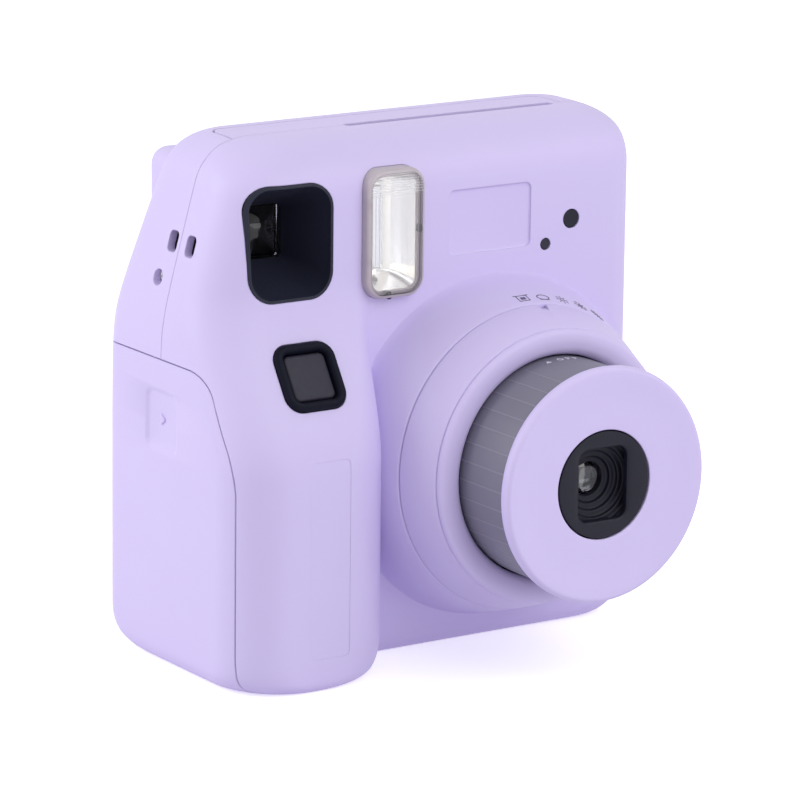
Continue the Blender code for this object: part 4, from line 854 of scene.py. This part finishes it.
def dial_piece():
    """Conical ring with a pointer notch at its rear edge."""
    profile = [
        (TURRET_FRONT_R - 0.1, TURRET_FRONT_Y - 0.3, 0.3),
        (DIAL_FRONT_R + 0.1, DIAL_FRONT_Y, 0.5),
        (DIAL_BORE_R, DIAL_FRONT_Y, 0.3),
        (DIAL_BORE_R, TURRET_FRONT_Y + 1.0, 0.2),
        (DIAL_STEP_R, TURRET_FRONT_Y + 1.0, 0.2),
        (DIAL_STEP_R, DIAL_FRONT_Y + DIAL_STEP, 0.4),
        (DIAL_FRONT_R - 1.0, DIAL_FRONT_Y + DIAL_STEP, 0.4),
        (TURRET_FRONT_R - 2.3, TURRET_FRONT_Y - 0.3, 0.2),
    ]
    dial = form("exposure_dial", lathe(profile))
    angle = math.radians(DIAL_MARK)
    x, z = LENS_X + TURRET_FRONT_R * math.sin(angle), LENS_Z + TURRET_FRONT_R * math.cos(angle)
    wide, narrow = NOTCH_HALF
    root, tip = TURRET_FRONT_Y + 1, TURRET_FRONT_Y - NOTCH_REACH
    notch = [(x - wide, root, 0.1), (x - narrow, tip, 0.4), (x + narrow, tip, 0.4), (x + wide, root, 0.1)]
    cut(dial, prism("pointer notch", rounded(notch, 4), "Z", z - NOTCH_SINK, z + 3))
    piece(settle(dial), LILAC, "mode_dial")


def barrel_pieces():
    """The fixed guide with its rolled lip, the sliding barrel and the dished disc on its front."""
    back = DIAL_FRONT_Y - GAP / 2
    bore, tube, flange = GUIDE_R
    flange_front, flange_back = GUIDE_REAR_Y
    lip = [
        (DIAL_FRONT_R, back, 0.3),
        (DIAL_FRONT_R - 0.3, LIP_Y + 0.6, 1.3),
        (LIP_CREST_R, LIP_Y, 1.5),
        (26.9, LIP_Y + 0.5, 1.3),
        (bore, back, 0.6),
        (bore, flange_back, 0.2),
        (flange, flange_back, 0.2),
        (flange, flange_front, 0.2),
        (tube, flange_front, 0.2),
        (tube, back, 0.2),
    ]
    piece(form("rolled_lip", lathe(lip, soft=5)), LILAC, "barrel_guide")
    barrel = [
        (BARREL_R, BARREL_FRONT_Y, 0.2),
        (BARREL_R, BARREL_REAR_Y, 0.3),
        (BARREL_R - BARREL_WALL, BARREL_REAR_Y, 0.2),
        (BARREL_R - BARREL_WALL, BARREL_FRONT_Y, 0.2),
    ]
    piece(form("barrel_tube", lathe(barrel)), GREY, "lens_barrel")
    face = DISC_RIM_Y + DISC_DISH
    disc_back = BARREL_FRONT_Y - GAP
    disc = [
        (BEZEL_R + GAP, disc_back, 0.1),
        (BEZEL_R + GAP, face, 0.25),
        (DISC_R * 0.72, face - 0.12, 3.0),
        (DISC_R - 2.4, DISC_RIM_Y + 0.1, 1.6),
        (DISC_R - 0.6, DISC_RIM_Y, 1.2),
        (DISC_R, DISC_RIM_Y + 1.5, 0.8),
        (DISC_R - 0.4, disc_back, 0.5),
    ]
    piece(form("dished_disc", lathe(disc, soft=6)), LILAC, "front_disc")
    bezel_piece(face, disc_back)


def bezel_piece(face, back):
    """Round black plate, dished round its portrait aperture."""
    plate = [(0.0, back, 0), (BEZEL_R, back, 0.1), (BEZEL_R, face, 0.3), (0.0, face, 0)]
    bezel = form("lens_plate", lathe(plate, steps=160))
    aperture = outline_of(LENS_X, LENS_Z, APERTURE_HALF, APERTURE_R)
    dish = ((3.6, -1.0), (3.4, 0.0), (2.2, 0.05), (1.3, 0.14), (0.6, 0.28), (0.15, 0.5), (0.0, 0.7))
    rows = [(grow, face + sink) for grow, sink in dish] + [(0.0, back + 1.0)]
    cut(bezel, form("aperture", skin(stack(aperture, rows))))
    piece(settle(bezel), BLACK, "lens_bezel")


def baffle_and_glass():
    """Stepped light trap with fine rings, the front glass behind it and the rear glass."""
    front = BARREL_FRONT_Y
    mouth, throat, back = APERTURE_HALF[1] + 1.4, GLASS_R - 0.7, front + BAFFLE_DEPTH
    seat = back - BAFFLE_SEAT
    profile = [(BAFFLE_R, back, 0.1), (BAFFLE_R, front, 0.1)]
    for k in range(BAFFLE_RINGS):
        radius = mouth + (throat - mouth) * k / (BAFFLE_RINGS - 1)
        profile.append((radius, front + (seat - 0.6 - front) * k / BAFFLE_RINGS, 0.35))
        profile.append((radius, front + (seat - 0.6 - front) * (k + 1) / BAFFLE_RINGS, 0.5))
    profile += [(throat, seat, 0.1), (GLASS_R + GAP, seat, 0.1), (GLASS_R + GAP, back, 0.1)]
    piece(form("light_trap", lathe(profile, steps=128), 40), BLACK, "lens_baffle")
    for name, radius, start, thick, stands in (
        ("front_glass", GLASS_R, seat + GAP, GLASS_THICK, "front_lens"),
        ("rear_glass", REAR_GLASS_R, REAR_GLASS_Y, REAR_GLASS_THICK, "rear_lens"),
    ):
        rim, middle, count = thick * 0.45, start + thick / 2, 16
        bulge = [(radius * k / count, (thick - rim) / 2 * (1 - (k / count) ** 2)) for k in range(count + 1)]
        outline = [(r, middle - rim / 2 - h, 0) for r, h in bulge]
        outline += [(r, middle + rim / 2 + h, 0) for r, h in reversed(bulge)]
        piece(form(name, lathe(outline, steps=96, soft=0)), LENS, stands)


def finder_pieces():
    """Black funnel with its window, and the eyepiece at the back."""
    front, back = FACE_Y - 6.0, FACE_Y + FINDER_DEPTH
    wide = outline_of(*FINDER)
    small = outline_of(FINDER_X, FINDER_Z, (FINDER_BACK, FINDER_BACK), 1.0)
    rings = stack(wide, ((0.0, front), (0.0, FACE_Y + 3.0)))
    rings += stack(small, ((HOOD_WALL, back), (0.0, back)))
    rings += stack(wide, ((-HOOD_WALL, FACE_Y + 1.5), (-HOOD_EDGE, front)))
    hood = form("finder_funnel", skin(rings, hollow=True))
    keep(hood, body_form("hood skin", -HOOD_LIP))
    piece(settle(hood), HOOD, "finder_hood")

    window = outline_of(FINDER_X, FINDER_Z, (FINDER_BACK, FINDER_BACK), 0.8)
    rows = [(0.0, back + 2.6), (0.0, back + 1.2)]
    for k in range(1, 9):
        dome = FINDER_DOME * math.sin(math.pi / 2 * k / 9)
        rows.append((-FINDER_BACK * k / 9, back + (1.2 - dome)))
    piece(form("finder_glass", skin(stack(window, rows)), 60), TINTED, "finder_objective")

    start, end = rear_y(EYE_Z + EYE_HALF[1]) - 3.0, EYE_Y - 0.6
    rows = [(HOOD_WALL, start), (HOOD_WALL, end - 0.3), (HOOD_WALL - 0.3, end)]
    rows += [(0.4, end), (0, end - 0.6), (0, start)]
    piece(form("eye_frame", skin(stack(outline_of(*EYE_BORE), rows), hollow=True)), BLACK, "eyepiece_frame")

    def eye(grow):
        return rounded_box(*EYE_BORE, grow - GAP)

    piece(form("eye_glass", pillow(eye, EYE_Y - 6.0, EYE_Y - 3.6, 0.2, 0.5)), CLEAR, "eyepiece_lens")


def flash_pieces():
    """Clear flash window with a milky rim, its clips and the bright bowl behind it."""
    front, back = FACE_Y - FLASH_PROUD, FACE_Y + WALL + 1.5

    def shape(grow):
        return rounded_box(*FLASH, grow, 10)

    outer = [(0.0, back)]
    for k in range(7):
        turn = math.pi / 2 * k / 6
        outer.append((FLASH_EDGE * (math.cos(turn) - 1), front + FLASH_EDGE * (1 - math.sin(turn))))
    window = form("flash_cover", skin(stack(shape, outer)))
    inner = [(-1.7, front + 0.7), (-FLASH_WALL, front + 1.6), (-FLASH_WALL, back + 2)]
    cut(window, form("flash hollow", skin(stack(shape, inner))))
    piece(settle(window), MILKY, "flash_window")
    window.data.materials.append(RIBBED)
    for face in window.data.polygons:
        if abs(face.normal.y) > 0.97 and face.center.y < (front + 2) * MM:
            face.material_index = 1
    flash_clips()

    half = (FLASH_HALF[0] - FLASH_WALL - 0.2, FLASH_HALF[1] - FLASH_WALL - 0.2)
    mouth, rear = FACE_Y - 0.5, FACE_Y + BOWL_DEPTH

    def bowl(grow, lift):
        rows = []
        for share in (0.0, 0.2, 0.4, 0.6, 0.8, 1.0):
            bend = 1 - math.sqrt(max(0.0, 1 - share**2))
            w = half[0] + (BOWL_BACK - half[0]) * bend
            h = half[1] - 2.6 * share
            ring = rounded_box(FLASH_X, FLASH_Z, (w, h), 3.2 - 1.8 * share, grow, 6)
            rows.append([(a, mouth + (rear - lift - mouth) * share, b) for a, b in ring])
        return rows

    outside, inside = bowl(0.0, 0.0), bowl(-BOWL_WALL, BOWL_WALL)
    piece(form("flash_bowl", skin(outside[::-1] + inside), 25), MIRROR, "flash_reflector")


def flash_clips():
    """Four small blocks that hold the flash window: two left, one right and one below."""
    wall = FLASH_HALF[0] - 0.75
    low = -FLASH_HALF[1] + 0.75
    clips = bmesh.new()
    for x, y, z in ((-wall, -1.1, 7.05), (-wall, -1.1, -6.05), (wall, -0.2, 0.35), (-1.55, -1.0, low)):
        outline = rounded_box(0, 0, CLIP_HALF, 0.3, 0.0, 3)
        rows = []
        for depth in (-CLIP_DEPTH, CLIP_DEPTH):
            rows.append([(FLASH_X + x + a, FACE_Y + y + depth, FLASH_Z + z + b) for a, b in outline])
        skin(rows, bm=clips)
    piece(form("flash_clips", clips), PAD, (), "camera_body")


def face_windows():
    """Two small round windows in the face, held by a flange inside."""
    inner = FACE_Y + WALL + GAP
    for name, spot, radius, look, stands in (
        ("meter_window", SENSOR, SENSOR_R, BLACK, "exposure_window"),
        ("light_sensor", DOT, DOT_R, PAD, "sensor_window"),
    ):
        profile = [
            (0.0, FACE_Y + 0.15, 0),
            (radius * 0.6, FACE_Y + 0.15, 0.4),
            (radius, FACE_Y + 0.1, 0.1),
            (radius, inner, 0.05),
            (radius + 1.0, inner, 0.05),
            (radius + 1.0, inner + 1.0, 0.05),
            (0.0, inner + 1.0, 0),
        ]
        piece(form(name, lathe(profile, spot, 64)), look, stands)


def button_pieces():
    """Rounded collar, the pad inside it and the spring below."""
    rows = [
        (0.0, -BUTTON_WELL),
        (0.0, 0.35),
        (-0.25, 0.85),
        (-0.7, 1.2),
        (-1.2, 1.3),
        (-1.7, 1.15),
        (-2.05, 0.75),
        (-BUTTON_RIM, 0.2),
        (-BUTTON_RIM, BUTTON_FLOOR),
    ]
    piece(form("button_collar", skin(stack(button_outline, rows, button_place)), 50), RIM, "button_rim")
    low = BUTTON_FLOOR + GAP + BUTTON_SPRING

    def pad(grow):
        return button_outline(-BUTTON_RIM - GAP + grow)

    piece(form("button_pad", pillow(pad, low, 0.2, 0.2, 0.7, button_place), 50), PAD, "shutter_button")
    return_spring(BUTTON_FLOOR + GAP)


def return_spring(foot):
    """Round wire coil under the button."""
    count = 40 * SPRING_TURNS
    rise = BUTTON_SPRING - GAP - 2 * SPRING_WIRE
    rows = []
    for k in range(count + 1):
        turn = 2 * math.pi * SPRING_TURNS * k / count
        row = []
        for a, b in circle(SPRING_WIRE, 12):
            reach = SPRING_R + a
            height = foot + SPRING_WIRE + rise * k / count + b
            row.append(button_place(reach * math.cos(turn), reach * math.sin(turn), height))
        rows.append(row)
    coil = piece(form("return_coil", skin(rows), 50), STEEL, "button_spring")
    anchor = button_place(0, 0, foot)
    way = button_place(0, 0, foot + 1) - anchor
    tuple(anchor * MM)
    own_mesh(coil)


def back_pieces():
    """Windows and latch on the back."""
    inside, ledge = REAR_Y - 3.3, REAR_Y - 2.3
    rows = [(1.2, inside), (1.2, ledge), (0.0, ledge), (0.0, REAR_Y - 0.5), (-0.3, REAR_Y - 0.2)]
    piece(form("film_pane", skin(stack(outline_of(*FILM_PANE), rows))), CLEAR, "film_window")
    piece(form("counter_pane", skin(stack(outline_of(*COUNTER_PANE), rows))), CLEAR, "counter_window")
    pad = outline_of(*LATCH, (3.6, 6.0), 1.5)
    latch = form("latch_slider", pillow(pad, REAR_Y + GAP, REAR_Y + 1.6, 0.15, 0.5))
    for z in (-3.0, -1.5, 0.0, 1.5, 3.0):
        groove = rounded_box(LATCH[0], LATCH[1] + z, (2.6, 0.35), 0.3)
        cut(latch, prism("groove", groove, "Y", REAR_Y + 1.2, REAR_Y + OVER))
    neck = prism("neck", rounded_box(*LATCH, (LATCH_NECK, 2.0), 0.5), "Y", REAR_Y - 3.7, REAR_Y + 1.0)
    foot = prism("latch back", rounded_box(*LATCH, (3.0, 3.0), 0.6), "Y", REAR_Y - 3.9, REAR_Y - 2.3)
    join(latch, neck, foot)
    piece(settle(latch), BLACK, "door_latch")


def raised(bm, outer, inner, place, low, high):
    """A flat mark between two matching outlines, or filled where inner is None."""
    loops = ((outer, low), (outer, high), (inner, high), (inner, low))
    rings = [[place(a, b, level) for a, b in loop] for loop, level in loops if loop]
    skin(rings, bool(inner), bm)


def bar(start, end, width):
    along = (Vector(end) - Vector(start)).normalized() * (width / 2)
    side = Vector((-along.y, along.x))
    ends = (Vector(start) - along, Vector(end) + along)
    return [tuple(p) for p in (ends[0] - side, ends[1] - side, ends[1] + side, ends[0] + side)]


def sun(radius, rays, length):
    """A disc, or a ring where it has few rays, with rays round it."""
    shapes = [(circle(radius), None if rays > 8 else circle(radius - 0.25))]
    for k in range(rays):
        turn = 2 * math.pi * k / rays
        way = Vector((math.cos(turn), math.sin(turn)))
        shapes.append((bar(way * (radius + 0.35), way * (radius + length), 0.22), None))
    return shapes


def about_lens(radius_at, middle_y, turn):
    """Place marks on a round surface: a runs round the lens axis and b along it."""
    start = math.radians(turn)

    def place(a, b, level):
        y = middle_y + b
        r = radius_at(y) + level
        angle = start + a / r
        return (LENS_X + r * math.sin(angle), y, LENS_Z + r * math.cos(angle))

    return place


def turret_radius(y):
    share = (y - TURRET_FRONT_Y) / (TURRET_WAIST[1] - TURRET_FRONT_Y)
    return TURRET_FRONT_R + (TURRET_WAIST[0] - TURRET_FRONT_R) * share


def setting_marks():
    """Five weather settings on the turret: a house, a cloud and three suns."""
    house = [(rounded_box(0, 0, (1.5, 1.2), 0.1, 0, 2), rounded_box(0, 0, (1.25, 0.95), 0.1, 0, 2))]
    house.append((rounded_box(0, -0.1, (0.7, 0.5), 0.1, 0, 2), None))
    house.append((bar((-1.9, 1.2), (1.9, 1.2), 0.25), None))
    cloud = [(circle(1.1, 28, 1.6), circle(0.85, 28, 1.7)), (bar((-1.2, -1.0), (1.2, -1.0), 0.3), None)]
    bm = bmesh.new()
    for k, shapes in enumerate((house, cloud, sun(0.7, 8, 0.9), sun(0.8, 10, 1.0), sun(0.7, 12, 1.2))):
        place = about_lens(turret_radius, MARK_Y, MARK_FIRST + MARK_STEP * k)
        for outer, inner in shapes:
            raised(bm, outer, inner, place, -0.3, 0.04)
    piece(form("setting_marks", bm), PRINT, (), "camera_body")


def slide_mark():
    """A triangle and the word OFF on the barrel."""
    place = about_lens(lambda y: BARREL_R, SLIDE_MARK_Y, SLIDE_MARK_TURN)
    triangle = [(-0.7, -0.55), (0.7, -0.55), (0.0, 0.75)]
    letter = circle(0.85, 28, 0.9)
    ring = [[(a * share + 3.3, b * share) for a, b in letter] for share in (1.0, 0.65)]
    bm = bmesh.new()
    raised(bm, triangle, None, place, -0.3, 0.03)
    raised(bm, *ring, place, -0.3, 0.03)
    for x in (5.1, 7.0):
        for start, end in (((0, -0.8), (0, 0.8)), ((0, 0.8), (1.1, 0.8)), ((0, 0.05), (0.8, 0.05))):
            line = bar((start[0] + x, start[1]), (end[0] + x, end[1]), 0.26)
            raised(bm, line, None, place, -0.3, 0.03)
    piece(form("slide_mark", bm), PALE, (), "lens")


def cover_arrow():
    """A soft raised arrow in the thumb recess."""

    def on_cover(a, b, level):
        y, z = THUMB[0] + ARROW_SHIFT[0], THUMB[1] + ARROW_SHIFT[1]
        return (-WIDTH / 2 + THUMB_SINK - level, y - a, z + b)

    def arrow(grow):
        size = 1 + grow / 1.2
        return rounded([(size * a, size * b, 0.7) for a, b in ARROW], 4)

    piece(form("cover_arrow", pillow(arrow, -0.4, 0.4, 0.05, 0.3, on_cover)), LILAC, (), "battery_door")


def barrel_lines():
    """Fine raised lines along the barrel, repeated round it, in a lighter grey that is a painted highlight
    on them.
    """
    tree = bpy.data.node_groups.new("lines round a barrel", "GeometryNodeTree")
    kinds = {"Count": "Int", "First": "Float", "Last": "Float", "Radius": "Float"}
    kinds.update({"Line": "Object", "Material": "Material"})
    ins = {}
    for name, kind in kinds.items():
        socket = tree.interface.new_socket(name, in_out="INPUT", socket_type="NodeSocket" + kind)
        ins[name] = socket.identifier
    tree.interface.new_socket("Geometry", in_out="OUTPUT", socket_type="NodeSocketGeometry")
    given = tree.nodes.new("NodeGroupInput")
    given = {name: Value(tree, given.outputs[name]) for name in ins}
    order = node(tree, "GeometryNodeInputIndex")
    angle = given["First"] + (given["Last"] - given["First"]) * order / (given["Count"] - 1.0)
    spot = {0: given["Radius"] * angle.math("SINE"), 2: given["Radius"] * angle.math("COSINE")}
    spot = node(tree, "ShaderNodeCombineXYZ", spot)
    points = node(tree, "GeometryNodePoints", {"Count": given["Count"], "Position": spot})
    turn = node(tree, "ShaderNodeCombineXYZ", {1: angle})
    turn = node(tree, "FunctionNodeEulerToRotation", {0: turn})
    shape = node(tree, "GeometryNodeObjectInfo", {"Object": given["Line"]}, output="Geometry")
    places = {"Points": points, "Instance": shape, "Rotation": turn}
    copies = node(tree, "GeometryNodeInstanceOnPoints", places)
    plain = node(tree, "GeometryNodeRealizeInstances", {0: copies})
    dressed = node(tree, "GeometryNodeSetMaterial", {"Geometry": plain, "Material": given["Material"]})
    tree.links.new(dressed.socket, tree.nodes.new("NodeGroupOutput").inputs[0])

    def outline(grow):
        return rounded_box(0, (BARREL_FRONT_Y + BARREL_REAR_Y) / 2, LINE_HALF, 0.1, grow, 3)

    def upright(a, b, along):
        return (a, b, along)

    line = form("one line", pillow(outline, -0.3, 0.07, 0.02, 0.06, upright))
    lines = form("barrel_lines", bmesh.new())
    step = lines.modifiers.new("lines", "NODES")
    step.node_group = tree
    ends = math.radians(LINE_FIRST), math.radians(360 - LINE_FIRST)
    for name, value in zip(ins, (LINE_COUNT, *ends, BARREL_R * MM, line, LINE_HIGHLIGHT)):
        step[ins[name]] = value
    settle(lines)
    bpy.data.objects.remove(line, do_unlink=True)
    lines.data.transform(Matrix.Translation((LENS_X * MM, 0, LENS_Z * MM)))
    piece(lines, LINE_HIGHLIGHT, (), "lens")


def camera():
    """The photo's camera, with its slight roll."""
    roll = math.radians(CAMERA_ROLL)
    back = (CAMERA_PLACE - CAMERA_TARGET).normalized()
    right = Vector((0, 0, 1)).cross(back).normalized()
    up = back.cross(right)
    right, up = right * math.cos(roll) + up * math.sin(roll), up * math.cos(roll) - right * math.sin(roll)
    data = bpy.data.cameras.new("photo_camera")
    data.lens = CAMERA_LENS
    data.sensor_width = 36.0
    data.clip_start = 0.05
    item = bpy.data.objects.new("photo_camera", data)
    item.matrix_world = Matrix((right, up, back)).transposed().to_4x4()
    item.matrix_world.translation = CAMERA_PLACE
    bpy.context.scene.camera = link(item)


def area(name, place, target, size, power):
    data = bpy.data.lights.new(name, "AREA")
    data.shape = "RECTANGLE"
    data.size, data.size_y = size
    data.energy = power
    item = bpy.data.objects.new(name, data)
    item.location = place
    item.rotation_euler = (Vector(target) - Vector(place)).to_track_quat("-Z", "Y").to_euler()
    link(item)


def seen_directly(tree):
    """One for what the camera sees, also through glass or in a reflection; nought for other light."""
    straight, mirrored, through = (
        node(tree, "ShaderNodeLightPath", output=name)
        for name in ("Is Camera Ray", "Is Glossy Ray", "Is Transmission Ray")
    )
    return straight + mirrored + through


def studio_floor():
    """White floor with a soft shadow, which lights the part from below with a lilac tinge."""
    bm = bmesh.new()
    bmesh.ops.create_grid(bm, x_segments=2, y_segments=2, size=FLOOR_HALF)
    floor = form("floor", bm)
    look = material("pale_floor", (0.93, 0.93, 0.93), 0.8, 0.05, 40.0, 0.004)
    tree = look.node_tree
    shader = tree.nodes["Principled BSDF"]
    shader.inputs["Emission Color"].default_value = (1, 1, 1, 1)
    shader.inputs["Emission Strength"].default_value = FLOOR_GLOW
    shaded = node(tree, "ShaderNodeBsdfDiffuse", {"Color": FLOOR_BOUNCE})
    lifted = node(tree, "ShaderNodeEmission", {"Color": FLOOR_LIFT, "Strength": 1.0})
    shaded = node(tree, "ShaderNodeAddShader", {0: shaded, 1: lifted})
    seen = Value(tree, shader.outputs[0])
    mixed = node(tree, "ShaderNodeMixShader", {0: seen_directly(tree), 1: shaded, 2: seen})
    tree.links.new(mixed.socket, tree.nodes["Material Output"].inputs["Surface"])
    floor.data.materials.append(look)


def studio():
    """Pale floor, white surroundings and soft boxes."""
    studio_floor()
    world = bpy.data.worlds.new("white_room")
    bpy.context.scene.world = world
    world.use_nodes = True
    tree = world.node_tree
    tree.nodes.clear()
    seen = node(tree, "ShaderNodeBackground", {"Color": (1, 1, 1, 1), "Strength": 1.0})
    light = node(tree, "ShaderNodeBackground", {"Color": (0.97, 0.98, 1.0, 1), "Strength": ROOM_LIGHT})
    mixed = node(tree, "ShaderNodeMixShader", {0: seen_directly(tree), 1: light, 2: seen})
    out = tree.nodes.new("ShaderNodeOutputWorld")
    tree.links.new(mixed.socket, out.inputs["Surface"])
    for soft_box in SOFT_BOXES:
        area(*soft_box)
    bpy.context.scene.view_settings.view_transform = "Standard"


def main():
    dress_nodes()
    forms = shared_forms()
    for shell in (front_shell, rear_shell, top_strip, side_cover, back_door):
        shell(forms)
    dial_piece()
    barrel_pieces()
    baffle_and_glass()
    finder_pieces()
    flash_pieces()
    face_windows()
    button_pieces()
    back_pieces()
    case_screws()
    setting_marks()
    slide_mark()
    cover_arrow()
    barrel_lines()
    for item in forms.values():
        bpy.data.objects.remove(item, do_unlink=True)
    camera()
    studio()


main()
